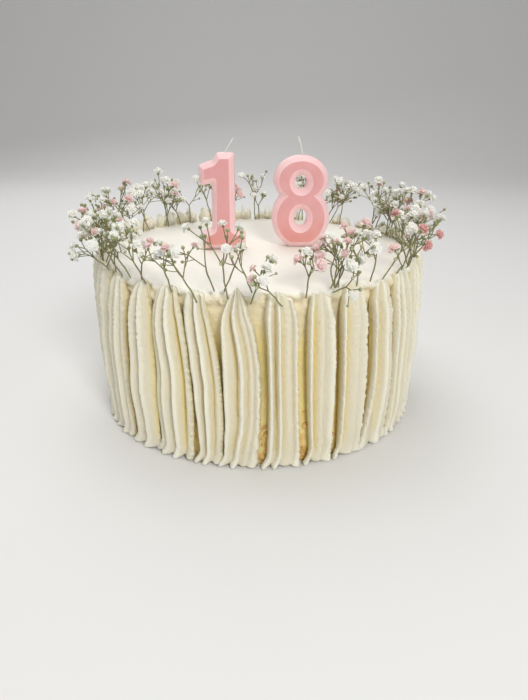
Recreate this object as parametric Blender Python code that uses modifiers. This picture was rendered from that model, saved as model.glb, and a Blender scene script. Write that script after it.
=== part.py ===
"""Birthday cake with a piped side, two digit candles and a ring of tiny flowers.

Metres, +Z up. The cake stands on z = 0 with its axis on Z, and its front faces -Y.
Azimuths are degrees round the axis from the front, positive towards +X.
"""

import math
import random
from typing import NamedTuple

import bmesh
import bpy
from mathutils import Matrix, Vector
from mathutils.bvhtree import BVHTree

# Clear space between neighbouring pieces
CLEAR = 0.0003

# Cake under its piping
CAKE_RADIUS = 0.1040
CAKE_TOP = 0.1100
CAKE_RIM_ROUND = 0.0030
CAKE_RIM_STEPS = 3
CAKE_SIDES = 72

# Piped strokes: heights at which the seams between them are given, and the rings of a stroke
FOOT_Z, WAIST_Z, SHOULDER_Z = 0.012, 0.055, 0.098
BED_EASE = 0.0002
BED_SHARE = 0.70
EDGE_SHARE = 0.50
BROAD_LOBE = 0.80


class Ring(NamedTuple):
    """One level of a stroke: its height, its crest above the cake's side and its share of width."""

    height: float
    crest: float
    valley: float
    width: float


STROKE_RINGS = (
    Ring(0.0000, 0.0062, 0.0040, 1.00),
    Ring(0.0045, 0.0046, 0.0030, 0.98),
    Ring(0.0140, 0.0074, 0.0042, 1.00),
    Ring(0.0450, 0.0092, 0.0052, 1.00),
    Ring(0.0780, 0.0093, 0.0053, 1.00),
    Ring(0.0960, 0.0088, 0.0050, 0.96),
    Ring(0.1045, 0.0078, 0.0046, 0.84),
)
HEAD_CREST = 0.0050
HEAD_VALLEY = 0.0034
HEAD_WIDTH = 0.58
HEAD_NOTCH = 0.0050
HEAD_ARCH = 0.0030
HEAD_BACK = 0.0068
HEAD_INSET = 0.0008
HEAD_DROP = 0.0010

# Heights of the stroke tips: level with the top in front, standing proud of it behind
TIP_FRONT_Z = 0.1122
TIP_BACK_RISE = 0.0092
TIP_SPREAD = 0.0012
LOW_TIPS_AZIMUTH = 130.0
LOW_TIPS_WIDTH = 34.0
LOW_TIPS_SHARE = 0.55


class Seam(NamedTuple):
    """Azimuth of a seam and the gap at it, at foot, waist and shoulder, in degrees."""

    foot: float
    waist: float
    shoulder: float
    gap_foot: float
    gap_waist: float
    gap_shoulder: float


FRONT_SEAMS = (
    Seam(-58.0, -57.5, -54.5, 0.8, 0.8, 1.6),
    Seam(-46.7, -46.8, -44.2, 2.6, 3.4, 2.8),
    Seam(-34.5, -34.2, -33.8, 0.6, 0.5, 0.6),
    Seam(-20.2, -20.7, -23.0, 2.0, 0.4, 0.5),
    Seam(-11.1, -10.9, -12.8, 0.5, 0.5, 3.6),
    Seam(1.3, 1.9, 0.0, 2.8, 2.0, 3.5),
    Seam(14.8, 13.5, 13.0, 3.0, 2.6, 2.9),
    Seam(25.3, 24.9, 23.8, 2.3, 2.0, 2.0),
    Seam(36.2, 37.2, 35.5, 0.6, 2.6, 2.3),
    Seam(49.8, 49.2, 46.3, 0.6, 1.2, 1.6),
    Seam(62.5, 61.8, 59.0, 0.8, 1.0, 2.0),
)


class Lobes(NamedTuple):
    """Rounded lobes of a stroke: the valleys between them, from -1 to 1, and how far each stands out."""

    valleys: tuple
    crests: tuple


TWIN = Lobes((0.12,), (1.00, 0.95))
HOLLOW = Lobes((0.00, 0.50), (0.98, 1.00, 0.92))
BANDED = Lobes((-0.22, 0.38), (0.92, 1.04, 0.90))
FOURFOLD = Lobes((-0.32, 0.06, 0.70), (0.97, 1.03, 0.87, 0.97))
FINNED = Lobes((-0.57, 0.76), (1.00, 0.92, 0.97))
WIDE = Lobes((-0.66, 0.33), (1.00, 0.88, 1.00))
FRONT_LOBES = (FINNED, TWIN, HOLLOW, BANDED, FOURFOLD, FOURFOLD, FINNED, FINNED, WIDE, FINNED)
OTHER_LOBES = (FINNED, TWIN, HOLLOW, BANDED, WIDE)
FRONT_TIPS = (0.1095, 0.1112, 0.1112, 0.1098, 0.1120, 0.1100, 0.1088, 0.1128, 0.1092, 0.1108)
STROKES = 30
SEAM_SEED = 41
SEAM_SHIFT = 1.1
SEAM_LEAN = 1.9

# Candles: outlines in their own x and z from the foot, thickness along y
WAX_DEPTH = 0.0130
WAX_BEVEL = 0.0030
ONE_FOOT = (-0.0235, -0.0043)
EIGHT_FOOT = (0.0285, 0.0029)
EIGHT_LEAN_X = 0.0007
LOBE_LOW = (0.0197, 0.0210, 0.0197)
LOBE_HIGH = (0.0184, 0.0158, 0.0449)
HOLE_LOW = (0.0043, 0.0059, 0.0196)
HOLE_HIGH = (0.0040, 0.0047, 0.0435)
LOBE_STEPS = 26
HOLE_STEPS = 12
ONE_CORNERS = (
    (-0.0143, 0.0000, 0.0004), (0.0153, 0.0000, 0.0004), (0.0151, 0.0116, 0.0034),
    (0.0083, 0.0140, 0.0020), (0.0083, 0.0628, 0.0022), (-0.0030, 0.0628, 0.0022),
    (-0.0062, 0.0582, 0.0030), (-0.0152, 0.0550, 0.0020), (-0.0148, 0.0419, 0.0020),
    (-0.0070, 0.0436, 0.0008), (-0.0074, 0.0138, 0.0020), (-0.0143, 0.0114, 0.0034),
)
CORNER_STEPS = 2
WICK_RADIUS = 0.0007
ONE_WICK = ((0.0024, 0.0628), (0.0040, 0.0660), (0.0078, 0.0711))
EIGHT_WICK = ((0.0011, 0.0607), (0.0006, 0.0660), (-0.0018, 0.0719))

# Flower sprigs
STEM_RADIUS = 0.00060
TWIG_RADIUS = 0.00042
TWIG_START_RADIUS = 0.00026
BLOSSOM_RADIUS = 0.0030
BUD_RADIUS = 0.0015
STEM_SIDES = 4
# Rings of a blossom along its stalk: place from its centre and radius, both as shares of its own radius
BLOSSOM_RINGS = ((-0.45, 0.72), (0.35, 1.00))
BLOSSOM_TOP = 0.85
SPRIG_CLEAR = 0.0005
SPRIG_TRIES = 14
STEM_SEARCH_STEPS = 60
BUD_SHARE = 0.30
FORK_ANGLE = (20.0, 40.0)
TWIG_ANGLE = (18.0, 42.0)


class Sprig(NamedTuple):
    """Where a sprig stands, how it leans out and sways sideways, and how long it is."""

    azimuth: float
    radius: float
    height: float
    lean: float
    sway: float
    length: float
    branches: int


SPRIGS = (
    Sprig(-84.0, 0.1050, 0.110, 10.0, -4.0, 0.038, 3),
    Sprig(-70.0, 0.1060, 0.110, 8.0, 4.0, 0.036, 3),
    Sprig(-56.0, 0.1085, 0.110, 40.0, -8.0, 0.027, 3),
    Sprig(-47.0, 0.1085, 0.110, 18.0, -30.0, 0.040, 3),
    Sprig(-35.0, 0.1095, 0.110, 10.0, -24.0, 0.034, 3),
    Sprig(-25.5, 0.1100, 0.108, 10.0, -8.0, 0.033, 3),
    Sprig(-17.4, 0.1110, 0.104, 12.0, -18.0, 0.038, 3),
    Sprig(-8.5, 0.1105, 0.107, 6.0, -8.0, 0.046, 3),
    Sprig(-2.0, 0.1115, 0.105, 14.0, 16.0, 0.030, 2),
    Sprig(6.6, 0.1125, 0.104, 16.0, -36.0, 0.030, 2),
    Sprig(13.5, 0.1105, 0.107, 8.0, 4.0, 0.028, 3),
    Sprig(21.5, 0.1110, 0.109, 58.0, 16.0, 0.024, 2),
    Sprig(30.0, 0.1095, 0.110, 10.0, -6.0, 0.032, 3),
    Sprig(41.0, 0.1090, 0.110, 18.0, 26.0, 0.044, 3),
    Sprig(54.0, 0.1070, 0.110, 16.0, 6.0, 0.040, 3),
    Sprig(67.0, 0.1060, 0.110, 8.0, 0.0, 0.038, 3),
    Sprig(81.0, 0.1050, 0.110, 6.0, -4.0, 0.036, 3),
    Sprig(97.0, 0.1025, 0.110, 16.0, 6.0, 0.042, 3),
    Sprig(117.0, 0.1000, 0.110, 16.0, -4.0, 0.040, 3),
    Sprig(138.0, 0.0995, 0.110, 12.0, 6.0, 0.038, 3),
    Sprig(160.0, 0.0990, 0.110, 12.0, -8.0, 0.040, 3),
    Sprig(181.0, 0.0990, 0.110, 12.0, 6.0, 0.042, 3),
    Sprig(-157.0, 0.0990, 0.110, 12.0, 4.0, 0.042, 3),
    Sprig(-134.0, 0.0995, 0.110, 16.0, -6.0, 0.044, 3),
    Sprig(-108.0, 0.1020, 0.110, 16.0, 8.0, 0.042, 3),
)
SPRIG_SEED = 700


class Twig(NamedTuple):
    """A straight stretch of stem between two points, with its radius."""

    start: Vector
    end: Vector
    radius: float


class Flower(NamedTuple):
    """A blossom or a bud: its centre, the way it faces and its radius."""

    centre: Vector
    facing: Vector
    radius: float


class Branch(NamedTuple):
    """A branch of a sprig: its limb up to where it forks, and the flowers on its twigs."""

    limb: Twig
    flowers: list


def clear_scene():
    """Remove whatever is in the scene."""
    for old in list(bpy.data.objects):
        bpy.data.objects.remove(old, do_unlink=True)


def make_material(name, colour, roughness):
    """Return a Principled material of one colour."""
    material = bpy.data.materials.new(name)
    material.use_nodes = True
    shader = material.node_tree.nodes["Principled BSDF"]
    shader.inputs["Base Color"].default_value = (*colour, 1.0)
    shader.inputs["Roughness"].default_value = roughness
    shader.inputs["Metallic"].default_value = 0.0
    return material


def add_object(name, mesh, collection, material):
    """Put a mesh in the collection as a named object with one material."""
    piece = bpy.data.objects.new(name, mesh)
    mesh.materials.clear()
    mesh.materials.append(material)
    collection.objects.link(piece)
    return piece


def polar(azimuth, radius, height):
    """Return the point at an azimuth in degrees, a radius and a height."""
    angle = math.radians(azimuth)
    return Vector((radius * math.sin(angle), -radius * math.cos(angle), height))


def smooth_step(value):
    """Ease a value from 0 to 1."""
    value = min(max(value, 0.0), 1.0)
    return value * value * (3.0 - 2.0 * value)


def build_cake(collection, material):
    """Turn the cake under its piping: a smooth top, a small round at the rim and a flat base."""
    corner = CAKE_RADIUS - CAKE_RIM_ROUND
    profile = [(0.0, CAKE_TOP)]
    for step in range(CAKE_RIM_STEPS + 1):
        turn = math.radians(90.0 * (1.0 - step / CAKE_RIM_STEPS))
        profile.append((corner + CAKE_RIM_ROUND * math.cos(turn),
                        CAKE_TOP - CAKE_RIM_ROUND + CAKE_RIM_ROUND * math.sin(turn)))
    profile += [(CAKE_RADIUS, 0.0), (0.0, 0.0)]
    mesh = bpy.data.meshes.new("cake")
    mesh.from_pydata([(x, 0.0, z) for x, z in profile], [(i, i + 1) for i in range(len(profile) - 1)], [])
    cake = add_object("cake", mesh, collection, material)
    screw = cake.modifiers.new("turn", "SCREW")
    screw.steps = CAKE_SIDES
    screw.render_steps = CAKE_SIDES
    screw.use_merge_vertices = True
    screw.merge_threshold = 0.0001
    screw.use_smooth_shade = True
    return cake


def make_seams():
    """Return the seams all the way round: those of the front as seen, the others drawn alike."""
    rng = random.Random(SEAM_SEED)
    seams = list(FRONT_SEAMS)
    hidden = STROKES - len(FRONT_SEAMS) + 1
    first = FRONT_SEAMS[-1].waist
    pitch = (FRONT_SEAMS[0].waist + 360.0 - first) / hidden
    for index in range(1, hidden):
        waist = first + pitch * index + rng.uniform(-SEAM_SHIFT, SEAM_SHIFT)
        lean = rng.uniform(-SEAM_LEAN, SEAM_LEAN)
        seams.append(Seam(waist - 0.4 * lean, waist, waist + lean,
                          rng.uniform(0.5, 2.8), rng.uniform(0.5, 2.8), rng.uniform(1.0, 3.6)))
    return seams


def along_seam(foot, waist, shoulder, height):
    """Read a value given at foot, waist and shoulder at any height of the side."""
    z = min(max(height, FOOT_Z), SHOULDER_Z)
    to_foot = (z - WAIST_Z) * (z - SHOULDER_Z) / ((FOOT_Z - WAIST_Z) * (FOOT_Z - SHOULDER_Z))
    to_waist = (z - FOOT_Z) * (z - SHOULDER_Z) / ((WAIST_Z - FOOT_Z) * (WAIST_Z - SHOULDER_Z))
    to_shoulder = (z - FOOT_Z) * (z - WAIST_Z) / ((SHOULDER_Z - FOOT_Z) * (SHOULDER_Z - WAIST_Z))
    return foot * to_foot + waist * to_waist + shoulder * to_shoulder


def stroke_edges(left, right, height):
    """Return the middle and half the width of a stroke between two seams, in degrees."""
    low = along_seam(left.foot, left.waist, left.shoulder, height)
    low += 0.5 * max(along_seam(left.gap_foot, left.gap_waist, left.gap_shoulder, height), 0.3)
    high = along_seam(right.foot, right.waist, right.shoulder, height)
    high -= 0.5 * max(along_seam(right.gap_foot, right.gap_waist, right.gap_shoulder, height), 0.3)
    return 0.5 * (low + high), 0.5 * (high - low)


def tip_height(azimuth):
    """Return how high the stroke tips reach at an azimuth."""
    turned = (azimuth + 180.0) % 360.0 - 180.0
    rise = TIP_BACK_RISE * smooth_step((abs(turned) - 62.0) / 55.0)
    dip = math.exp(-((turned - LOW_TIPS_AZIMUTH) / LOW_TIPS_WIDTH) ** 2)
    return TIP_FRONT_Z + rise * (1.0 - LOW_TIPS_SHARE * dip)


def stroke_section(lobes, crest, valley):
    """Return a stroke's outline across its width: place from -1 to 1, height over its bed and kind."""
    points = [(-BED_SHARE, 0.0, "bed"), (-1.0, EDGE_SHARE * crest, "edge")]
    borders = (-1.0, *lobes.valleys, 1.0)
    for index, share in enumerate(lobes.crests):
        low, high = borders[index], borders[index + 1]
        if index:
            points.append((low, valley, "valley"))
        steps = (0.25, 0.75) if high - low > BROAD_LOBE else (0.5,)
        points += [(low + (high - low) * step, share * crest, "crest") for step in steps]
    return points + [(1.0, EDGE_SHARE * crest, "edge"), (BED_SHARE, 0.0, "bed")]


def head_ring(lobes, middle, half, tip, rng):
    """Return the top ring of a stroke: pointed tips on its lobes, notches between, its back on the rim."""
    back = min(max(tip - HEAD_BACK, CAKE_TOP - HEAD_DROP), tip - HEAD_DROP)
    inset = HEAD_INSET if back > CAKE_TOP + CLEAR else 0.0
    bed = CAKE_RADIUS + CLEAR + BED_EASE - inset
    ring = []
    for place, rise, kind in stroke_section(lobes, HEAD_CREST, HEAD_VALLEY):
        peak = tip - HEAD_ARCH * place * place + rng.uniform(-TIP_SPREAD, TIP_SPREAD)
        if kind == "bed":
            peak = back
        elif kind != "crest":
            peak = tip - HEAD_NOTCH
        ring.append(polar(middle + place * half, bed + rise, peak))
    return ring


def build_stroke(name, left, right, lobes, tip, rng, collection, material):
    """Loft one piped stroke up the side: toes at its foot, rounded lobes, and their pointed tips."""
    rings = []
    swell = rng.uniform(0.94, 1.03)
    for ring in STROKE_RINGS:
        middle, half = stroke_edges(left, right, ring.height)
        half *= ring.width
        bed = (CAKE_RADIUS + CLEAR) / math.cos(math.radians(BED_SHARE * half)) + BED_EASE
        rings.append([polar(middle + place * half, bed + swell * rise, ring.height)
                      for place, rise, _ in stroke_section(lobes, ring.crest, ring.valley)])
    middle, half = stroke_edges(left, right, SHOULDER_Z)
    rings.append(head_ring(lobes, middle, half * HEAD_WIDTH, tip, rng))
    shape = bmesh.new()
    loops = [[shape.verts.new(point) for point in ring] for ring in rings]
    count = len(loops[0])
    for lower, upper in zip(loops, loops[1:]):
        for i in range(count):
            j = (i + 1) % count
            shape.faces.new((lower[i], lower[j], upper[j], upper[i]))
    shape.faces.new(list(reversed(loops[0])))
    shape.faces.new(loops[-1])
    bmesh.ops.recalc_face_normals(shape, faces=shape.faces)
    bmesh.ops.triangulate(shape, faces=shape.faces)
    mesh = bpy.data.meshes.new(name)
    shape.to_mesh(mesh)
    shape.free()
    return add_object(name, mesh, collection, material)


def build_strokes(collection, material):
    """Build the piped strokes all the way round the side."""
    seams = make_seams()
    strokes = []
    for index in range(STROKES):
        left = seams[index]
        right = seams[(index + 1) % STROKES]
        if index == STROKES - 1:
            right = Seam(right.foot + 360.0, right.waist + 360.0, right.shoulder + 360.0,
                         right.gap_foot, right.gap_waist, right.gap_shoulder)
        rng = random.Random(SEAM_SEED + index)
        if index < len(FRONT_LOBES):
            lobes, tip = FRONT_LOBES[index], FRONT_TIPS[index]
        else:
            lobes, tip = rng.choice(OTHER_LOBES), tip_height(0.5 * (left.shoulder + right.shoulder))
        name = f"stroke_{index + 1:02d}"
        strokes.append(build_stroke(name, left, right, lobes, tip, rng, collection, material))
    return strokes


def rounded_outline(corners):
    """Return an outline with each corner turned into a short arc of its own radius."""
    points = []
    for index, (x, z, radius) in enumerate(corners):
        here = Vector((x, z))
        before = Vector(corners[index - 1][:2]) - here
        after = Vector(corners[(index + 1) % len(corners)][:2]) - here
        half = 0.5 * before.angle(after)
        reach = min(radius / math.tan(half), 0.45 * before.length, 0.45 * after.length)
        start = here + before.normalized() * reach
        end = here + after.normalized() * reach
        for step in range(CORNER_STEPS + 1):
            t = step / CORNER_STEPS
            points.append((1 - t) ** 2 * start + 2 * t * (1 - t) * here + t ** 2 * end)
    return points


def lobe_points(shape, start, end, steps, shift):
    """Return points of an ellipse (half width, half height, middle height) between two angles."""
    across, up, middle = shape
    points = []
    for step in range(steps + 1):
        angle = math.radians(start + (end - start) * step / steps)
        points.append(Vector((shift + across * math.cos(angle), middle + up * math.sin(angle))))
    return points


def eight_outlines():
    """Return the outline of the digit eight, flat at its foot, and its two holes."""
    low_across, low_up, low_middle = LOBE_LOW
    high_across, high_up, high_middle = LOBE_HIGH
    waist = low_middle
    while True:
        waist += 0.0001
        low = low_across * math.sqrt(max(1.0 - ((waist - low_middle) / low_up) ** 2, 0.0))
        high = high_across * math.sqrt(max(1.0 - ((waist - high_middle) / high_up) ** 2, 0.0))
        if high >= low:
            break
    low_end = math.degrees(math.asin((waist - low_middle) / low_up))
    high_start = math.degrees(math.asin((waist - high_middle) / high_up))
    foot = math.degrees(math.asin(-low_middle / low_up))
    half = LOBE_STEPS // 2
    right = lobe_points(LOBE_LOW, foot, low_end, half, EIGHT_LEAN_X)
    top = lobe_points(LOBE_HIGH, high_start, 180.0 - high_start, LOBE_STEPS, EIGHT_LEAN_X)
    left = lobe_points(LOBE_LOW, 180.0 - low_end, 180.0 - foot, half, EIGHT_LEAN_X)
    holes = []
    for hole in (HOLE_LOW, HOLE_HIGH):
        holes.append(lobe_points(hole, 0.0, 360.0 * (1 - 1 / HOLE_STEPS), HOLE_STEPS - 1, EIGHT_LEAN_X))
    return [right[:-1] + top + left[1:]] + holes


def build_candle(name, foot, outlines, collection, material):
    """Extrude a digit candle from flat outlines, bevelled front and back."""
    curve = bpy.data.curves.new(name, "CURVE")
    curve.dimensions = "2D"
    curve.fill_mode = "BOTH"
    curve.extrude = 0.5 * WAX_DEPTH - WAX_BEVEL
    curve.bevel_depth = WAX_BEVEL
    curve.bevel_resolution = 0
    curve.offset = -WAX_BEVEL
    for outline in outlines:
        spline = curve.splines.new("POLY")
        spline.points.add(len(outline) - 1)
        for point, place in zip(spline.points, outline):
            point.co = (place.x, place.y, 0.0, 1.0)
        spline.use_cyclic_u = True
    flat = bpy.data.objects.new(name + "_outline", curve)
    collection.objects.link(flat)
    flat.matrix_world = (Matrix.Translation((foot[0], foot[1], CAKE_TOP + CLEAR))
                         @ Matrix.Rotation(math.radians(90.0), 4, "X"))
    bpy.context.view_layer.update()
    candle = mesh_from_curve(name, flat, collection, material)
    return candle


def mesh_from_curve(name, source, collection, material):
    """Turn a curve object into a closed mesh object in its place, and remove the curve."""
    evaluated = source.evaluated_get(bpy.context.evaluated_depsgraph_get())
    mesh = bpy.data.meshes.new_from_object(evaluated)
    mesh.name = name
    shape = bmesh.new()
    shape.from_mesh(mesh)
    bmesh.ops.remove_doubles(shape, verts=shape.verts, dist=0.00001)
    bmesh.ops.recalc_face_normals(shape, faces=shape.faces)
    shape.to_mesh(mesh)
    shape.free()
    piece = add_object(name, mesh, collection, material)
    piece.matrix_world = source.matrix_world.copy()
    bpy.data.objects.remove(source, do_unlink=True)
    return piece


def build_wick(name, foot, route, collection, material):
    """Bend a short wick out of the top of a candle."""
    curve = bpy.data.curves.new(name, "CURVE")
    curve.dimensions = "3D"
    curve.bevel_depth = WICK_RADIUS
    curve.bevel_resolution = 1
    curve.use_fill_caps = True
    spline = curve.splines.new("POLY")
    spline.points.add(len(route) - 1)
    for point, (x, z) in zip(spline.points, route):
        point.co = (foot[0] + x, foot[1], CAKE_TOP + z + 3.0 * CLEAR, 1.0)
    line = bpy.data.objects.new(name + "_line", curve)
    collection.objects.link(line)
    bpy.context.view_layer.update()
    return mesh_from_curve(name, line, collection, material)


def turned(direction, angle, spin):
    """Tilt a direction by an angle, towards a side chosen by spin, both in degrees."""
    side = direction.orthogonal().normalized()
    side.rotate(Matrix.Rotation(math.radians(spin), 3, direction))
    return (Matrix.Rotation(math.radians(angle), 3, side) @ direction).normalized()


def segment_distance(a, b):
    """Return the least distance between two twigs, sampled along both."""
    nearest = 1.0
    for i in range(5):
        p = a.start.lerp(a.end, i / 4.0)
        along = b.end - b.start
        share = (p - b.start).dot(along) / max(along.length_squared, 1e-12)
        nearest = min(nearest, (p - b.start.lerp(b.end, min(max(share, 0.0), 1.0))).length)
    return nearest


def is_clear(twig, flower, taken):
    """Tell whether a new twig and its flower keep away from every other sprig."""
    for other in taken:
        for piece in (twig, ball_of(flower)):
            needed = piece.radius + other.radius + SPRIG_CLEAR
            if (piece.start - other.start).length > needed + 0.04:
                continue
            if min(segment_distance(piece, other), segment_distance(other, piece)) < needed:
                return False
    return True


def outside_cream(flower):
    """Tell whether a flower stays off the top, the tips and the piped side."""
    radius = math.hypot(flower.centre.x, flower.centre.y)
    azimuth = math.degrees(math.atan2(flower.centre.x, -flower.centre.y))
    reach = flower.radius + 0.0008
    if radius > 0.1145 + reach:
        return flower.centre.z > 0.094
    if radius < 0.1000 - reach:
        return flower.centre.z > CAKE_TOP + reach
    return flower.centre.z > tip_height(azimuth) + TIP_SPREAD + reach


def twig_of(limb, flower):
    """Return the twig from the fork of a branch to one of its flowers."""
    return Twig(limb.end, flower.centre, TWIG_RADIUS)


def ball_of(flower):
    """Return a flower as a very short and thick twig, for measuring distances."""
    return Twig(flower.centre, flower.centre + flower.facing * 0.0001, flower.radius)


def stands_apart(flower, parts):
    """Tell whether a flower keeps off the twigs and flowers of its own sprig."""
    ball = ball_of(flower)
    return all(segment_distance(part, ball) > flower.radius + part.radius for part in parts)


def solid_parts(stem, branches):
    """List every stretch and every flower of a sprig as twigs."""
    parts = list(stem)
    for branch in branches:
        parts.append(branch.limb)
        for flower in branch.flowers:
            parts += [twig_of(branch.limb, flower), ball_of(flower)]
    return parts


def grow_sprig(sprig, rng, taken):
    """Grow one sprig: a stem and its branches, each with twigs that end in a blossom or a bud."""
    root = polar(sprig.azimuth, sprig.radius, sprig.height)
    outward = polar(sprig.azimuth, 1.0, 0.0)
    sideways = polar(sprig.azimuth + 90.0, 1.0, 0.0)
    lean, sway = math.radians(sprig.lean), math.radians(sprig.sway)
    heading = (outward * math.sin(lean) + sideways * math.sin(sway)
               + Vector((0.0, 0.0, math.cos(lean) * math.cos(sway)))).normalized()
    bend = root + heading * 0.22 * sprig.length
    fork = bend + turned(heading, 8.0, rng.uniform(0.0, 360.0)) * 0.20 * sprig.length
    stem = [Twig(root, bend, STEM_RADIUS), Twig(bend, fork, STEM_RADIUS)]
    branches, own = [], []
    spin = rng.uniform(0.0, 360.0)
    for _ in range(sprig.branches):
        spin += 360.0 / sprig.branches + rng.uniform(-25.0, 25.0)
        way = turned(heading, rng.uniform(*FORK_ANGLE), spin)
        end = fork + way * sprig.length * rng.uniform(0.20, 0.32)
        limb = Twig(fork, end, TWIG_RADIUS)
        flowers = []
        for twist in (rng.uniform(0.0, 180.0), rng.uniform(180.0, 360.0)):
            for _ in range(SPRIG_TRIES):
                aim = turned(way, rng.uniform(*TWIG_ANGLE), twist + rng.uniform(-60.0, 60.0))
                tip = end + aim * sprig.length * rng.uniform(0.16, 0.32)
                size = BLOSSOM_RADIUS if rng.random() > BUD_SHARE else BUD_RADIUS
                flower = Flower(tip + aim * 0.5 * size, aim, size * rng.uniform(0.9, 1.12))
                if (stands_apart(flower, own) and outside_cream(flower)
                        and is_clear(twig_of(limb, flower), flower, taken)):
                    flowers.append(flower)
                    own += [twig_of(limb, flower), ball_of(flower)]
                    break
        if flowers:
            branches.append(Branch(limb, flowers))
    return stem, branches


def is_near(cream, point, clearance):
    """Tell whether a point is inside the cream or nearer to it than a clearance."""
    if cream.find_nearest(point)[3] < clearance:
        return True
    hits, start = 0, point
    while True:
        hit = cream.ray_cast(start, Vector((0.0, 0.0, 1.0)))[0]
        if hit is None:
            return hits % 2 == 1
        hits += 1
        start = hit + Vector((0.0, 0.0, 0.000001))


def free_stem(stem, cream):
    """Shorten the foot of a stem to where it just clears the cream."""
    root, bend, fork = stem[0].start, stem[0].end, stem[1].end
    foot, last = fork, 2.0
    for step in range(STEM_SEARCH_STEPS - 1, -1, -1):
        share = 2.0 * step / STEM_SEARCH_STEPS
        point = root.lerp(bend, share) if share <= 1.0 else bend.lerp(fork, share - 1.0)
        if is_near(cream, point, STEM_RADIUS + CLEAR):
            break
        foot = point
        last = share
    if last >= 1.0:
        return [Twig(foot.lerp(bend, 0.02), fork, STEM_RADIUS)]
    return [Twig(foot, bend, STEM_RADIUS), Twig(bend, fork, STEM_RADIUS)]


def touches(cream, part):
    """Tell whether a straight stretch of stem comes too near the cream."""
    for step in range(9):
        if is_near(cream, part.start.lerp(part.end, step / 8.0), part.radius + CLEAR):
            return True
    return False


def stalk_mesh(name, route, flower):
    """Return a closed stalk along a route of points and radii, widening into a flower at its end."""
    turn = math.pi / STEM_SIDES
    rings = [(point, radius, 0.0) for point, radius in route]
    rings.append((flower.centre - flower.facing * flower.radius, TWIG_RADIUS, 0.0))
    for index, (place, share) in enumerate(BLOSSOM_RINGS):
        middle = flower.centre + flower.facing * flower.radius * place
        rings.append((middle, flower.radius * share, index * turn))
    shape = bmesh.new()
    loops = []
    side = None
    for index, (point, radius, twist) in enumerate(rings):
        before = rings[max(index - 1, 0)][0]
        after = rings[min(index + 1, len(rings) - 1)][0]
        along = (after - before).normalized()
        side = (side - along * side.dot(along)).normalized() if side else along.orthogonal().normalized()
        across = along.cross(side)
        angles = [twist + math.tau * i / STEM_SIDES for i in range(STEM_SIDES)]
        loops.append([shape.verts.new(point + radius * (math.cos(angle) * side + math.sin(angle) * across))
                      for angle in angles])
    top = shape.verts.new(flower.centre + flower.facing * flower.radius * BLOSSOM_TOP)
    for lower, upper in zip(loops, loops[1:]):
        for i in range(STEM_SIDES):
            j = (i + 1) % STEM_SIDES
            shape.faces.new((lower[i], lower[j], upper[j], upper[i]))
    shape.faces.new(list(reversed(loops[0])))
    for i in range(STEM_SIDES):
        shape.faces.new((loops[-1][i], loops[-1][(i + 1) % STEM_SIDES], top))
    bmesh.ops.recalc_face_normals(shape, faces=shape.faces)
    bmesh.ops.triangulate(shape, faces=shape.faces)
    mesh = bpy.data.meshes.new(name)
    shape.to_mesh(mesh)
    shape.free()
    return mesh


def build_sprig(name, stem, branches, collection, material):
    """Fuse a sprig's stem, branches and flowers into one closed solid."""
    route = [(stem[0].start, STEM_RADIUS)] + [(part.end, STEM_RADIUS) for part in stem]
    route.append((branches[0].limb.end, TWIG_RADIUS))
    sprig = add_object(name, stalk_mesh(name, route, branches[0].flowers[0]), collection, material)
    extras = bpy.data.collections.new(name + "_twigs")
    bpy.context.scene.collection.children.link(extras)
    for number, branch in enumerate(branches):
        for index, flower in enumerate(branch.flowers):
            if number == 0 and index == 0:
                continue
            if index == 0:
                route = [(branch.limb.start, TWIG_START_RADIUS), (branch.limb.end, TWIG_RADIUS)]
            else:
                route = [(branch.limb.end, TWIG_START_RADIUS)]
            mesh = stalk_mesh(f"{name}_branch_{number}_{index}", route, flower)
            add_object(mesh.name, mesh, extras, material)
    join = sprig.modifiers.new("join", "BOOLEAN")
    join.operation = "UNION"
    join.operand_type = "COLLECTION"
    join.collection = extras
    join.solver = "EXACT"
    bpy.context.view_layer.update()
    fused = bpy.data.meshes.new_from_object(sprig.evaluated_get(bpy.context.evaluated_depsgraph_get()))
    sprig.modifiers.clear()
    sprig.data = fused
    for part in list(extras.objects):
        bpy.data.objects.remove(part, do_unlink=True)
    bpy.data.collections.remove(extras)
    return sprig


def keep_clear(branches, cream):
    """Drop the flowers and branches that come too near the cream."""
    kept = []
    for branch in branches:
        flowers = [flower for flower in branch.flowers
                   if not touches(cream, ball_of(flower))
                   and not touches(cream, twig_of(branch.limb, flower))]
        if flowers and not touches(cream, branch.limb):
            kept.append(Branch(branch.limb, flowers))
    return kept


def build_sprigs(cream, collection, material):
    """Grow the ring of sprigs round the rim, each clear of the others and of the cream."""
    taken = []
    for index, sprig in enumerate(SPRIGS):
        rng = random.Random(SPRIG_SEED + index)
        stem, branches = grow_sprig(sprig, rng, taken)
        taken += solid_parts(stem, branches)
        build_sprig(f"sprig_{index + 1:02d}", free_stem(stem, cream), keep_clear(branches, cream),
                    collection, material)


def cream_surface(pieces):
    """Return a search tree over the cake and its strokes."""
    shape = bmesh.new()
    depsgraph = bpy.context.evaluated_depsgraph_get()
    for piece in pieces:
        mesh = piece.evaluated_get(depsgraph).to_mesh()
        shape.from_mesh(mesh)
    bmesh.ops.triangulate(shape, faces=shape.faces)
    tree = BVHTree.FromBMesh(shape)
    shape.free()
    return tree


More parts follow.
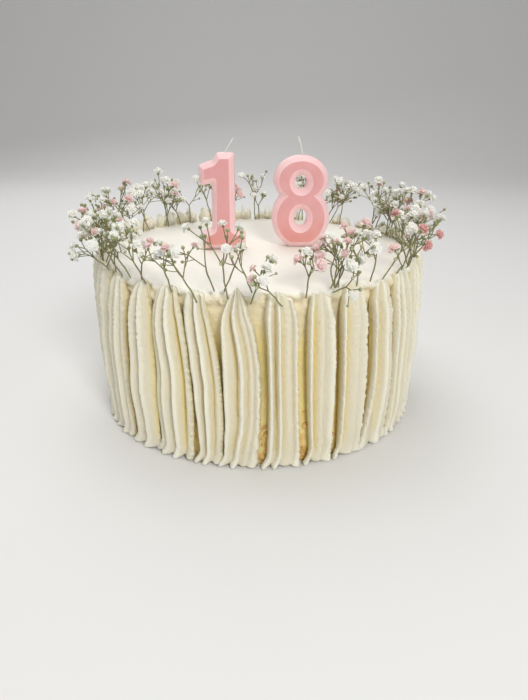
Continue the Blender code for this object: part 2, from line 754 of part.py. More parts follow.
def main():
    """Build the whole cake."""
    clear_scene()
    collection = bpy.data.collections.new("birthday_cake")
    bpy.context.scene.collection.children.link(collection)
    cream = make_material("piped_cream", (0.86, 0.82, 0.70), 0.55)
    coat = make_material("cake_coat", (0.84, 0.76, 0.60), 0.60)
    wax = make_material("pink_wax", (0.78, 0.33, 0.36), 0.40)
    cotton = make_material("wick_cotton", (0.85, 0.83, 0.80), 0.80)
    bloom = make_material("flower_sprigs", (0.72, 0.74, 0.62), 0.70)
    cake = build_cake(collection, coat)
    strokes = build_strokes(collection, cream)
    build_candle("candle_one", ONE_FOOT, [rounded_outline(ONE_CORNERS)], collection, wax)
    build_candle("candle_eight", EIGHT_FOOT, eight_outlines(), collection, wax)
    build_wick("wick_one", ONE_FOOT, ONE_WICK, collection, cotton)
    build_wick("wick_eight", EIGHT_FOOT, EIGHT_WICK, collection, cotton)
    bpy.context.view_layer.update()
    build_sprigs(cream_surface([cake] + strokes), collection, bloom)


main()
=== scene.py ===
"""Looks of a birthday cake: piped cream strokes, two digit candles in wax and a ring of baby's breath.

Metres, +Z up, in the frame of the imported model. The cake stands on z = 0 with its axis on Z,
and its front faces -Y. Azimuths are degrees round the axis from the front, positive towards +X.
"""

import logging
import math
import random
from dataclasses import dataclass, field
from enum import Enum
from typing import Any, Iterable, Sequence

import bmesh
import bpy
import numpy as np
from mathutils import Matrix, Vector
from mathutils.geometry import tessellate_polygon


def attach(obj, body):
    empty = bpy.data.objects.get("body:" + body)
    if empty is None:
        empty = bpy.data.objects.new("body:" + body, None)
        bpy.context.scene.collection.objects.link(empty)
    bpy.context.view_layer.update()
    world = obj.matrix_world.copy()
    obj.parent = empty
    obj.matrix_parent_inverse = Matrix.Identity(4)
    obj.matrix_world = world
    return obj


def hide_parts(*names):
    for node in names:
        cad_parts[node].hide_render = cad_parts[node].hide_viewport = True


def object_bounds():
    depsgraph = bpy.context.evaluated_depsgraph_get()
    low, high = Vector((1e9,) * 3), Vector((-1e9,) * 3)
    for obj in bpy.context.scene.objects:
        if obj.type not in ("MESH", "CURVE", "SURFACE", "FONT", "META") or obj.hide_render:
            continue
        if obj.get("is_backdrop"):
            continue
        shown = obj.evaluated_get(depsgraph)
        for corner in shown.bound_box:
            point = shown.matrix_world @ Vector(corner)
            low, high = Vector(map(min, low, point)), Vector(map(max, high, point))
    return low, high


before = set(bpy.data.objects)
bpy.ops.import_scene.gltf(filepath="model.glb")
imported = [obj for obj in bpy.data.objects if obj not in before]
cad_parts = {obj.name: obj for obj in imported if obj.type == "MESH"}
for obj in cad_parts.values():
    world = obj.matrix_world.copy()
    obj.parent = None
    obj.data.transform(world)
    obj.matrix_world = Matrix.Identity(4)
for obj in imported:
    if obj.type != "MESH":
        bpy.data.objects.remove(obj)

Array = np.ndarray
Material = bpy.types.Material
Piece = bpy.types.Object
Socket = bpy.types.NodeSocket

LOG = logging.getLogger("birthday_cake")
ROOT = "root"
CAKE_TOP = 0.1100
MERGE_DISTANCE = 0.000001
GOLDEN_ANGLE = 137.5


# Shader and geometry trees


class Signal:
    """A number on its way through a node tree; arithmetic on it adds Math nodes."""

    def __init__(self, board: "Board", socket: Socket) -> None:
        """Wrap an output socket of a tree."""
        self.board = board
        self.socket = socket

    def join(self, operation: str, first: Any, second: Any = 0.0, clamp: bool = False) -> "Signal":
        """Add one Math node on two values or signals; clamp keeps its result between 0 and 1."""
        return self.board.node("ShaderNodeMath", {"operation": operation, "use_clamp": clamp},
                               {0: first, 1: second})

    def __add__(self, other: Any) -> "Signal":
        """Add."""
        return self.join("ADD", self, other)

    def __radd__(self, other: Any) -> "Signal":
        """Add, reflected."""
        return self.join("ADD", other, self)

    def __sub__(self, other: Any) -> "Signal":
        """Subtract."""
        return self.join("SUBTRACT", self, other)

    def __rsub__(self, other: Any) -> "Signal":
        """Subtract, reflected."""
        return self.join("SUBTRACT", other, self)

    def __mul__(self, other: Any) -> "Signal":
        """Multiply."""
        return self.join("MULTIPLY", self, other)

    def __rmul__(self, other: Any) -> "Signal":
        """Multiply, reflected."""
        return self.join("MULTIPLY", other, self)

    def __pow__(self, other: Any) -> "Signal":
        """Raise to a power."""
        return self.join("POWER", self, other)

    def clamped(self) -> "Signal":
        """Keep the value between 0 and 1."""
        return self.join("ADD", self, 0.0, clamp=True)

    def ramp(self, low: float, high: float) -> "Signal":
        """Rise smoothly from 0 at low to 1 at high."""
        return self.board.node("ShaderNodeMapRange", {"interpolation_type": "SMOOTHSTEP"},
                               {"Value": self, "From Min": low, "From Max": high})


class Board:
    """A node tree with one method that adds any node."""

    def __init__(self, tree: bpy.types.NodeTree) -> None:
        """Work on a node tree."""
        self.tree = tree

    def feed(self, target: Socket, value: Any) -> None:
        """Link a signal to an input socket, or set the socket's own value."""
        if isinstance(value, Signal):
            self.tree.links.new(value.socket, target)
        else:
            target.default_value = value

    def node(self, kind: str, settings: dict[str, Any] | None = None,
             sockets: dict[Any, Any] | None = None, output: Any = 0) -> Signal:
        """Add a node.

        Args:
            kind: The node's type.
            settings: Its own settings, set first.
            sockets: Values or signals for its input sockets, by name or number.
            output: Name or number of the output that is returned.

        Returns:
            The chosen output.
        """
        made = self.tree.nodes.new(kind)
        for name, value in (settings or {}).items():
            setattr(made, name, value)
        for name, value in (sockets or {}).items():
            self.feed(made.inputs[name], value)
        return Signal(self, made.outputs[output])


class Paint(Board):
    """The node tree of one material."""

    def __init__(self, name: str) -> None:
        """Start a material with a Principled shader."""
        self.material = bpy.data.materials.new(name)
        self.material.use_nodes = True
        super().__init__(self.material.node_tree)
        self.shader = self.tree.nodes["Principled BSDF"]

    def place(self) -> Signal:
        """Return the position on the piece, in metres."""
        return self.node("ShaderNodeTexCoord", output="Object")

    def height(self) -> Signal:
        """Return the height on the piece, in metres."""
        return self.node("ShaderNodeSeparateXYZ", None, {0: self.place()}, "Z")

    def noise(self, size: float, detail: float = 2.0,
              stretch: Sequence[float] = (1.0, 1.0, 1.0)) -> Signal:
        """Return noise between 0 and 1.

        Args:
            size: Size of its patches in metres.
            detail: How many finer layers it has.
            stretch: How many times longer the patches are along X, Y and Z.

        Returns:
            The noise.
        """
        scaled = self.node("ShaderNodeMapping", {"vector_type": "POINT"}, {
            "Vector": self.place(), "Scale": tuple(1.0 / (size * share) for share in stretch)})
        return self.node("ShaderNodeTexNoise", {"noise_dimensions": "3D"}, {
            "Vector": scaled, "Scale": 1.0, "Detail": detail})

    def attribute(self, name: str) -> Signal:
        """Return a number that the mesh carries."""
        return self.node("ShaderNodeAttribute", {"attribute_name": name}, output="Fac")

    def mix(self, factor: Any, first: Any, second: Any) -> Signal:
        """Mix two colours."""
        return self.node("ShaderNodeMix", {"data_type": "RGBA"}, {0: factor, 6: first, 7: second}, 2)

    def bump(self, height: Any, depth: float) -> Signal:
        """Return a normal that follows a height of so many metres."""
        return self.node("ShaderNodeBump", None, {"Strength": 1.0, "Distance": depth, "Height": height})

    def dress(self, **sockets: Any) -> Material:
        """Set the shader's sockets, with underscores for the spaces in their names."""
        for name, value in sockets.items():
            self.feed(self.shader.inputs[name.replace("_", " ")], value)
        return self.material


class Sprout(Board):
    """A Geometry Nodes tree built in code, with named inputs and a realized result."""

    def __init__(self, name: str) -> None:
        """Start a tree that takes and gives geometry."""
        super().__init__(bpy.data.node_groups.new(name, "GeometryNodeTree"))
        face = self.tree.interface
        face.new_socket("Geometry", in_out="INPUT", socket_type="NodeSocketGeometry")
        face.new_socket("Geometry", in_out="OUTPUT", socket_type="NodeSocketGeometry")
        self.entry = self.tree.nodes.new("NodeGroupInput")
        self.exit = self.tree.nodes.new("NodeGroupOutput")

    def incoming(self) -> Signal:
        """Return the geometry that comes in."""
        return Signal(self, self.entry.outputs["Geometry"])

    def knob(self, name: str, kind: str, value: Any = None) -> Signal:
        """Add a named input.

        Args:
            name: The input's name.
            kind: Its socket type, such as Float, Int, Material or Object.
            value: Its default value.

        Returns:
            The input as a signal.
        """
        made = self.tree.interface.new_socket(name, in_out="INPUT", socket_type=f"NodeSocket{kind}")
        if value is not None:
            made.default_value = value
        return Signal(self, self.entry.outputs[name])

    def named(self, name: str, kind: str = "FLOAT") -> Signal:
        """Return an attribute that the geometry carries."""
        return self.node("GeometryNodeInputNamedAttribute", {"data_type": kind}, {"Name": name})

    def circle(self, sides: Any) -> Signal:
        """Return a circle of radius 1 with so many sides, as a curve."""
        return self.node("GeometryNodeCurvePrimitiveCircle", {"mode": "RADIUS"},
                         {"Resolution": sides, "Radius": 1.0}, "Curve")

    def close(self, geometry: Signal, material: Signal) -> None:
        """End the tree in Realize Instances and Set Material."""
        real = self.node("GeometryNodeRealizeInstances", None, {"Geometry": geometry})
        done = self.node("GeometryNodeSetMaterial", None, {"Geometry": real, "Material": material})
        self.feed(self.exit.inputs["Geometry"], done)

    def grow(self, piece: Piece, **values: Any) -> Piece:
        """Run the tree on a piece and keep the result as its plain mesh.

        Args:
            piece: The object that the tree works on.
            **values: Values for the tree's inputs, with underscores for spaces.

        Returns:
            The same object with its new mesh.
        """
        modifier = piece.modifiers.new("grow", "NODES")
        modifier.node_group = self.tree
        for item in self.tree.interface.items_tree:
            name = item.name.replace(" ", "_")
            if item.in_out == "INPUT" and name in values:
                modifier[item.identifier] = values[name]
        bpy.context.view_layer.update()
        graph = bpy.context.evaluated_depsgraph_get()
        mesh = bpy.data.meshes.new_from_object(piece.evaluated_get(graph), preserve_all_data_layers=True,
                                               depsgraph=graph)
        piece.modifiers.remove(modifier)
        old = piece.data
        piece.data = mesh
        mesh.name = piece.name
        bpy.data.meshes.remove(old)
        return piece


# Shared helpers


def polar(azimuth: float, radius: float, height: float) -> Vector:
    """Return the point at an azimuth in degrees, a radius and a height."""
    angle = math.radians(azimuth)
    return Vector((radius * math.sin(angle), -radius * math.cos(angle), height))


def smooth_step(value: Any) -> Any:
    """Ease a number or an array from 0 to 1."""
    value = np.clip(value, 0.0, 1.0)
    return value * value * (3.0 - 2.0 * value)


def link_object(name: str, data: Any) -> Piece:
    """Put a mesh, a light or a camera in the scene as an object."""
    made = bpy.data.objects.new(name, data)
    bpy.context.scene.collection.objects.link(made)
    return made


def band(first: int, count: int, beyond: int) -> list[tuple[int, int, int, int]]:
    """Join a closed ring of points to the next ring.

    Args:
        first: The ring's first point.
        count: How many points it has.
        beyond: How many points further on the next ring starts.

    Returns:
        The faces between the two rings.
    """
    faces = []
    for index in range(count):
        here, after = first + index, first + (index + 1) % count
        faces.append((here, after, after + beyond, here + beyond))
    return faces


def bent(start: Vector, bend: Vector, end: Vector, steps: int) -> list[Vector]:
    """Return the points of a curve that leaves its start towards a bend and comes from there."""
    shares = [step / steps for step in range(steps + 1)]
    return [(1 - t) ** 2 * start + 2 * t * (1 - t) * bend + t ** 2 * end for t in shares]


def make_piece(name: str, points: Array, faces: Iterable[Sequence[int]],
               materials: Sequence[Material] = (), **numbers: Array) -> Piece:
    """Make a smooth mesh object at the origin.

    Args:
        name: The piece's name.
        points: Its points, one row each.
        faces: Its faces as indices of points.
        materials: Its materials.
        **numbers: Numbers that each point carries, by attribute name.

    Returns:
        The new object.
    """
    mesh = bpy.data.meshes.new(name)
    mesh.from_pydata([tuple(point) for point in points], [], [tuple(face) for face in faces])
    for material in materials:
        mesh.materials.append(material)
    for key, values in numbers.items():
        kind = "FLOAT_VECTOR" if np.ndim(values) == 2 else "FLOAT"
        layer = mesh.attributes.new(key, kind, "POINT")
        layer.data.foreach_set("vector" if kind == "FLOAT_VECTOR" else "value",
                               np.asarray(values, np.float32).ravel())
    mesh.shade_smooth()
    mesh.update()
    return link_object(name, mesh)


def tidy_mesh(mesh: bpy.types.Mesh) -> None:
    """Merge doubled points and point the faces outwards."""
    shape = bmesh.new()
    shape.from_mesh(mesh)
    bmesh.ops.remove_doubles(shape, verts=shape.verts, dist=MERGE_DISTANCE)
    bmesh.ops.recalc_face_normals(shape, faces=shape.faces)
    shape.to_mesh(mesh)
    shape.free()


def settle(piece: Piece, nodes: Sequence[str]) -> None:
    """Attach a finished piece to the cake's root and hide the solids that it stands for.

    Args:
        piece: The piece, which rides on the cake.
        nodes: The solids that it stands for.
    """
    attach(piece, ROOT)
    if nodes:
        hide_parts(*nodes)
    LOG.info("%s: %d faces, stands for %d nodes", piece.name, len(piece.data.polygons), len(nodes))


@dataclass(frozen=True)
class Box:
    """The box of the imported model, which the visual stays inside."""

    low: Vector
    high: Vector

    def inside(self, point: Vector, reach: float) -> Vector:
        """Move a point just far enough inwards for a ball of some reach round it to fit the box."""
        return Vector([min(max(value, low + reach), high - reach)
                       for value, low, high in zip(point, self.low, self.high)])

    def holds(self, point: Vector, reach: float) -> bool:
        """Tell whether a ball round a point fits the box."""
        return (self.inside(point, reach) - point).length < MERGE_DISTANCE


@dataclass(frozen=True)
class Wander:
    """A smooth random wave in one or two directions, as a sum of seeded sines."""

    seed: int
    size: float
    waves: int = 5

    def at(self, first: Array, second: Array | float = 0.0) -> Array:
        """Return values of about -1 to 1.

        Args:
            first: Places along the first direction, in metres.
            second: Places along the second direction, in metres.

        Returns:
            The wave at each place.
        """
        rng = random.Random(self.seed)
        total = np.zeros(np.broadcast(first, second).shape)
        for _ in range(self.waves):
            turn = rng.uniform(0.0, math.tau)
            pitch = self.size * rng.uniform(0.6, 1.7)
            phase = rng.uniform(0.0, math.tau)
            along = math.cos(turn) * first + math.sin(turn) * second
            total = total + np.sin(math.tau * along / pitch + phase)
        return total / math.sqrt(self.waves)


# Finishes


@dataclass(frozen=True)
class Body:
    """How far light goes into a material: its share, its reach in metres and its share by colour."""

    share: float
    reach: float
    colour: tuple = (1.0, 0.2, 0.1)

    def sockets(self) -> dict[str, Any]:
        """Return the shader's sockets for it."""
        return {"Subsurface_Weight": self.share, "Subsurface_Scale": self.reach,
                "Subsurface_Radius": self.colour}


@dataclass(frozen=True)
class CreamFinish:
    """Piped cream: ivory ridges, painted shade that greys the flanks and turns warm golden deep in the
    grooves, and fine ripples left by the nozzle.
    """

    light: tuple = (0.925, 0.890, 0.752, 1.0)
    flank_shade_and_patch: tuple = (0.780, 0.730, 0.578, 1.0)
    painted_valley_shade: tuple = (0.865, 0.730, 0.335, 1.0)
    patch_size: float = 0.018
    grain: float = 0.0014
    pore: float = 0.0006
    relief: float = 0.00070
    gloss: float = 0.35
    body: Body = Body(0.40, 0.005, (1.0, 0.85, 0.50))

    def material(self) -> Material:
        """Build the material. The mesh carries how far each point lies down from the crests, 0 on a crest
        and 1 deep between, which sets its painted shade.
        """
        paint = Paint("piped_cream")
        groove = paint.attribute("groove")
        patch = paint.noise(self.patch_size).ramp(0.35, 0.75)
        # Painted shade: a greyer flank colour spreads down from each crest, with random patches of it.
        flank_shade_and_patch = (groove.ramp(0.01, 0.30) + patch * 0.15).clamped()
        cream = paint.mix(flank_shade_and_patch, self.light, self.flank_shade_and_patch)
        ripple = paint.noise(self.grain, 2.0, (1.0, 1.0, 2.4)) * 0.8 + paint.noise(self.pore, 1.0) * 0.2
        # Painted shade: warm golden colour deep in the grooves between the ridges.
        return paint.dress(Base_Color=paint.mix(groove.ramp(0.36, 0.88), cream, self.painted_valley_shade),
                           Roughness=0.48 + patch * 0.12, Normal=paint.bump(ripple, self.relief),
                           Specular_IOR_Level=self.gloss, **self.body.sockets())


@dataclass(frozen=True)
class CoatFinish:
    """The cake's coat: pale and smooth on top, golden and crumbly low between the strokes and paler towards
    the rim; the gold is partly the crumb coat and partly painted bounce light, the paler rim partly painted
    light where the strokes shade the gaps less.
    """

    top: tuple = (0.900, 0.866, 0.790, 1.0)
    pale: tuple = (0.905, 0.888, 0.790, 1.0)
    gold: tuple = (0.930, 0.790, 0.350, 1.0)
    tan: tuple = (0.880, 0.790, 0.560, 1.0)
    crumb: tuple = (0.820, 0.520, 0.170, 1.0)
    crumb_heights: tuple = (0.006, 0.042)
    tan_heights: tuple = (0.082, 0.108)
    pale_heights: tuple = (0.1045, 0.1095)
    smear_heights: tuple = (0.075, 0.100)
    relief: float = 0.00045
    gloss: float = 0.35
    body: Body = Body(0.15, 0.004, (1.0, 0.7, 0.4))

    def material(self) -> Material:
        """Build the material. The mesh carries "side", 0 on the top and 1 down the side."""
        paint = Paint("cake_coat")
        side, height = paint.attribute("side"), paint.height()
        streak = paint.noise(0.030, 3.0, (2.4, 0.7, 1.0)).ramp(0.35, 0.70)
        top = paint.mix(streak * 0.75, self.top, self.pale)
        low = 1.0 - height.ramp(*self.crumb_heights)
        spots = paint.noise(0.0055, 3.0, (1.0, 1.0, 1.6)).ramp(0.46, 0.62)
        gold = paint.mix((spots * (low * 0.85 + 0.05)).clamped(), self.gold, self.crumb)
        drift = paint.noise(0.022) * 0.018
        # Partly painted light: up the side the gaps turn from gold to tan, lighter where the strokes shade
        # them less; the gold is partly the crumb coat and partly painted bounce light from the yellow
        # cream.
        cream = paint.mix((height + drift).ramp(*self.tan_heights), gold, self.tan)
        # Partly painted light: the coat turns pale just under the rim, partly a real cream web and partly
        # painted light where little shades it.
        lit = paint.mix(height.ramp(*self.pale_heights), cream, self.pale)
        brushed = paint.noise(0.0035, 3.0, (4.0, 0.6, 1.0)) * (1.0 - side) * 0.35
        rough = paint.noise(0.0016, 3.0) * side
        smear = paint.noise(0.0075, 3.0, (1.0, 1.0, 2.2)) * side * height.ramp(*self.smear_heights) * 3.0
        return paint.dress(Base_Color=paint.mix(side, top, lit), Roughness=0.52 + streak * 0.10,
                           Normal=paint.bump(brushed + rough + smear, self.relief),
                           Specular_IOR_Level=self.gloss, **self.body.sockets())


@dataclass(frozen=True)
class WaxFinish:
    """Moulded candle wax: rosy pink faces, and a paler bevel whose colour is painted light for the light it
    catches all round.
    """

    face: tuple = (0.780, 0.380, 0.380, 1.0)
    low: tuple = (0.760, 0.310, 0.265, 1.0)
    # Painted light: the bevel's paler colour.
    rim: tuple = (0.945, 0.635, 0.640, 1.0)
    low_heights: tuple = (0.112, 0.140)
    cloud_size: float = 0.009
    mottle_size: float = 0.0022
    relief: float = 0.00012
    body: Body = Body(0.35, 0.005, (1.0, 0.45, 0.40))

    def material(self) -> Material:
        """Build the material. The mesh carries "rim", 0 on a face and 1 on the bevel."""
        paint = Paint("pink_wax")
        cloud = paint.noise(self.cloud_size).ramp(0.3, 0.8)
        mottle = paint.noise(self.mottle_size)
        warmth = paint.mix((1.0 - paint.height().ramp(*self.low_heights)) * 0.8, self.face, self.low)
        shade = paint.mix(cloud * 0.15, warmth, self.rim)
        # Painted light: the bevel takes the paler colour, for the light it catches.
        colour = paint.mix(paint.attribute("rim").ramp(0.30, 0.70), shade, self.rim)
        return paint.dress(Base_Color=colour, Roughness=0.38 + mottle * 0.16,
                           Normal=paint.bump(mottle, self.relief), **self.body.sockets())


@dataclass(frozen=True)
class CottonFinish:
    """The wicks' white waxed cotton."""

    colour: tuple = (0.86, 0.85, 0.82, 1.0)
    shade: tuple = (0.68, 0.65, 0.60, 1.0)
    fibre: float = 0.0005
    relief: float = 0.0001

    def material(self) -> Material:
        """Build the material."""
        paint = Paint("wick_cotton")
        fibre = paint.noise(self.fibre, 2.0, (1.0, 1.0, 3.0))
        colour = paint.mix(fibre.ramp(0.3, 0.8) * 0.7, self.colour, self.shade)
        return paint.dress(Base_Color=colour, Roughness=0.75, Normal=paint.bump(fibre, self.relief))


@dataclass(frozen=True)
class StemFinish:
    """The sprigs' stems, olive green and browner at the joints."""

    green: tuple = (0.225, 0.230, 0.100, 1.0)
    brown: tuple = (0.260, 0.190, 0.100, 1.0)
    patch_size: float = 0.006
    fibre: float = 0.0006
    relief: float = 0.00006

    def material(self) -> Material:
        """Build the material."""
        paint = Paint("sprig_stem")
        patch = paint.noise(self.patch_size).ramp(0.4, 0.7)
        colour = paint.mix(patch * 0.6, self.green, self.brown)
        fibre = paint.noise(self.fibre, 2.0, (1.0, 1.0, 4.0))
        return paint.dress(Base_Color=colour, Roughness=0.55 + fibre * 0.2,
                           Normal=paint.bump(fibre, self.relief))


@dataclass(frozen=True)
class BudFinish:
    """Buds and the cups under the blossoms: green, paling towards the tip."""

    green: tuple = (0.220, 0.245, 0.095, 1.0)
    tip: tuple = (0.560, 0.580, 0.370, 1.0)
    vein: float = 0.0007
    relief: float = 0.0001
    body: Body = Body(0.1, 0.001)

    def material(self) -> Material:
        """Build the material. The mesh carries "tip", 0 at the stalk and 1 at the tip."""
        paint = Paint("sprig_bud")
        vein = paint.noise(self.vein, 1.0)
        paling = (paint.attribute("tip") ** 2.0 * 0.8 + vein * 0.15).clamped()
        return paint.dress(Base_Color=paint.mix(paling, self.green, self.tip), Roughness=0.55,
                           Normal=paint.bump(vein, self.relief), **self.body.sockets())


class Bloom(Enum):
    """The colours that the dried blossoms come in: at the heart and at the petals' ends."""

    WHITE = ((0.930, 0.930, 0.780, 1.0), (0.990, 0.985, 0.960, 1.0))
    PINK = ((0.880, 0.540, 0.500, 1.0), (0.960, 0.780, 0.750, 1.0))
    ROSE = ((0.600, 0.230, 0.200, 1.0), (0.790, 0.440, 0.400, 1.0))


@dataclass(frozen=True)
class PetalFinish:
    """Thin papery petals of one of the blossoms' colours."""

    bloom: Bloom
    patch_size: float = 0.0045
    crinkle: float = 0.0007
    relief: float = 0.00012
    body: Body = Body(0.35, 0.0020, (1.0, 0.97, 0.93))

    def material(self) -> Material:
        """Build the material. The mesh carries "tip", 0 at the heart and 1 at a petal's end."""
        paint = Paint(f"petal_{self.bloom.name.lower()}")
        patch = paint.noise(self.patch_size, 1.0).ramp(0.3, 0.8)
        paling = (paint.attribute("tip") * 1.1 - patch * 0.25).clamped()
        crinkle = paint.noise(self.crinkle)
        return paint.dress(Base_Color=paint.mix(paling, *self.bloom.value),
                           Roughness=0.60 + crinkle * 0.15, Normal=paint.bump(crinkle, self.relief),
                           **self.body.sockets())


@dataclass(frozen=True)
class CrumbFinish:
    """Crumbs of toasted sponge caught in the cream."""

    light: tuple = (0.860, 0.660, 0.290, 1.0)
    dark: tuple = (0.720, 0.420, 0.140, 1.0)
    patch_size: float = 0.0045
    grain: float = 0.0004
    relief: float = 0.0002

    def material(self) -> Material:
        """Build the material."""
        paint = Paint("sponge_crumb")
        patch = paint.noise(self.patch_size).ramp(0.35, 0.65)
        return paint.dress(Base_Color=paint.mix(patch, self.light, self.dark), Roughness=0.8,
                           Normal=paint.bump(paint.noise(self.grain), self.relief))


# Piping


@dataclass(frozen=True)
class Seam:
    """Azimuth of a seam and the gap at it, at foot, waist and shoulder, in degrees."""

    foot: float
    waist: float
    shoulder: float
    gap_foot: float
    gap_waist: float
    gap_shoulder: float

    def turned(self, degrees: float) -> "Seam":
        """Return the same seam further round."""
        return Seam(self.foot + degrees, self.waist + degrees, self.shoulder + degrees,
                    self.gap_foot, self.gap_waist, self.gap_shoulder)


@dataclass(frozen=True)
class Ridge:
    """A ridge along a stroke, and the valley on its right. Places run from -1 to 1 across the stroke."""

    place: float
    height: float
    valley: float = 1.0
    floor: float = 0.30


class RidgeSet(Enum):
    """How the nozzle left the ridges of a stroke, from its left edge to its right."""

    TWIN = (Ridge(-0.62, 0.94, -0.06, 0.44), Ridge(0.16, 1.00, 0.92, 0.34), Ridge(0.97, 0.40))
    HOLLOW = (Ridge(-0.84, 0.66, -0.66, 0.52), Ridge(-0.46, 0.94, -0.02, 0.44),
              Ridge(0.16, 1.06, 0.54, 0.22), Ridge(0.80, 0.74))
    BANDED = (Ridge(-0.68, 0.92, -0.28, 0.42), Ridge(-0.04, 1.06, 0.38, 0.40), Ridge(0.68, 0.74))
    FOURFOLD = (Ridge(-0.84, 0.92, -0.33, 0.40), Ridge(-0.06, 1.06, 0.15, 0.48),
                Ridge(0.44, 0.72, 0.56, 0.64), Ridge(0.82, 0.86))
    FINNED = (Ridge(-0.80, 0.93, -0.47, 0.36), Ridge(-0.26, 1.00, -0.06, 0.50),
              Ridge(0.30, 0.70, 0.56, 0.60), Ridge(0.80, 0.90))
    PLAIN = (Ridge(-0.80, 0.95, -0.46, 0.34), Ridge(0.08, 0.74, 0.24, 0.64), Ridge(0.78, 0.92))
    SLANTED = (Ridge(-0.86, 0.96, -0.53, 0.34), Ridge(0.25, 0.82, 0.37, 0.70), Ridge(0.80, 0.86))
    WIDE = (Ridge(-0.88, 0.90, -0.16, 0.42), Ridge(0.14, 0.98, 0.50, 0.68), Ridge(0.82, 0.80))

    def relief(self, place: Array, edge: float) -> Array:
        """Return how far the ridges stand out across a stroke, as shares of its fullness.

        Args:
            place: Places across the stroke, from -1 to 1.
            edge: How far its two edges stand out.

        Returns:
            The relief at each place.
        """
        rise = np.full(place.shape, edge)
        start, floor = -1.0, edge
        for number, ridge in enumerate(self.value):
            last = number == len(self.value) - 1
            left = (place >= start) & (place <= ridge.place)
            right = (place > ridge.place) & (place <= ridge.valley)
            for inside, border, low, roundness in (
                    (left, start, floor, 1.9), (right, ridge.valley, edge if last else ridge.floor, 1.35)):
                away = np.abs(place[inside] - ridge.place) / abs(ridge.place - border)
                roundness += 1.0 if abs(border) >= 1.0 else 0.0
                rise[inside] = low + (ridge.height - low) * (1.0 - away ** roundness)
            start, floor = ridge.valley, ridge.floor
        return rise


@dataclass(frozen=True)
class Stroke:
    """One piped stroke: its ridges, where its tips end, and how its head and its ridges lie."""

    ridges: RidgeSet
    tip: float
    point: float = 0.6
    apex: float = 0.0
    sway: tuple = (0.0, 0.0, 0.0)


@dataclass(frozen=True)
class Level:
    """One height of a stroke: how far it stands out, how deep its valleys are and its share of width."""

    height: float
    full: float
    depth: float
    width: float


@dataclass(frozen=True)
class Hand:
    """How unsteady the piping hand was: how long its waves are, in metres, and how far each one goes."""

    tip_wave: float = 0.0050
    tip: float = 0.0007
    body_wave: float = 0.034
    body_width: float = 0.012
    body_full: float = 0.05
    drift_wave: float = 0.060
    drift: float = 0.035
    jitter_wave: float = 0.007
    jitter: float = 0.010
    frill_wave: float = 0.0036
    frill_from: float = 0.70
    frill_out: float = 0.00030
    frill_side: float = 0.022
    ripple_wave: float = 0.0024
    ripple: float = 0.00017
    ripple_z: float = 0.055


@dataclass
class Sheet:
    """The open sheet of a stroke: the places round its section, and its points in rows from the foot."""

    place: Array
    behind: Array
    turn: Array
    radius: Array
    height: Array
    groove: Array

    def grid(self, back_limit: float) -> Array:
        """Return the points of every row, none further back than a limit."""
        angle = np.radians(self.turn)
        across = np.minimum(-self.radius * np.cos(angle), back_limit)
        return np.stack((self.radius * np.sin(angle), across, self.height), axis=-1)

    def line(self, row: Array, side: Array) -> Array:
        """Read one side of a row at every place.

        Args:
            row: The points of the row.
            side: Which of them are on that side.

        Returns:
            A point of that side for every place.
        """
        order = np.argsort(self.place[side])
        return np.stack([np.interp(self.place, self.place[side][order], row[side][order, axis])
                         for axis in range(3)], axis=-1)


@dataclass
class SeamPlan:
    """Where the seams between the strokes run, all the way round."""

    strokes: int = 30
    seed: int = 41
    shift: float = 1.1
    lean: float = 1.9
    gaps: tuple = ((0.5, 2.8), (0.5, 2.8), (0.45, 1.62))
    front: tuple = (
        Seam(-58.0, -57.5, -54.5, 0.8, 0.8, 1.6),
        Seam(-46.7, -46.8, -44.2, 2.6, 3.4, 2.8),
        Seam(-34.5, -34.2, -33.8, 0.6, 0.5, 0.6),
        Seam(-20.2, -20.7, -23.0, 2.0, 0.4, 0.5),
        Seam(-11.1, -10.9, -12.8, 0.5, 0.5, 3.6),
        Seam(1.3, 1.9, 0.0, 2.8, 2.0, 3.5),
        Seam(14.8, 13.5, 13.0, 3.0, 2.6, 2.9),
        Seam(25.3, 24.9, 23.8, 2.3, 2.0, 2.0),
        Seam(36.2, 37.2, 35.5, 0.6, 2.6, 2.3),
        Seam(49.8, 49.2, 46.3, 0.6, 1.2, 1.6),
        Seam(62.5, 61.8, 59.0, 0.8, 1.0, 2.0),
    )

    def all_round(self) -> list[Seam]:
        """Return the front seams as seen and the others drawn alike."""
        rng = random.Random(self.seed)
        seams = list(self.front)
        hidden = self.strokes - len(self.front) + 1
        first = self.front[-1].waist
        pitch = (self.front[0].waist + 360.0 - first) / hidden
        for index in range(1, hidden):
            waist = first + pitch * index + rng.uniform(-self.shift, self.shift)
            lean = rng.uniform(-self.lean, self.lean)
            seams.append(Seam(waist - 0.4 * lean, waist, waist + lean,
                              *(rng.uniform(*reach) for reach in self.gaps)))
        return seams


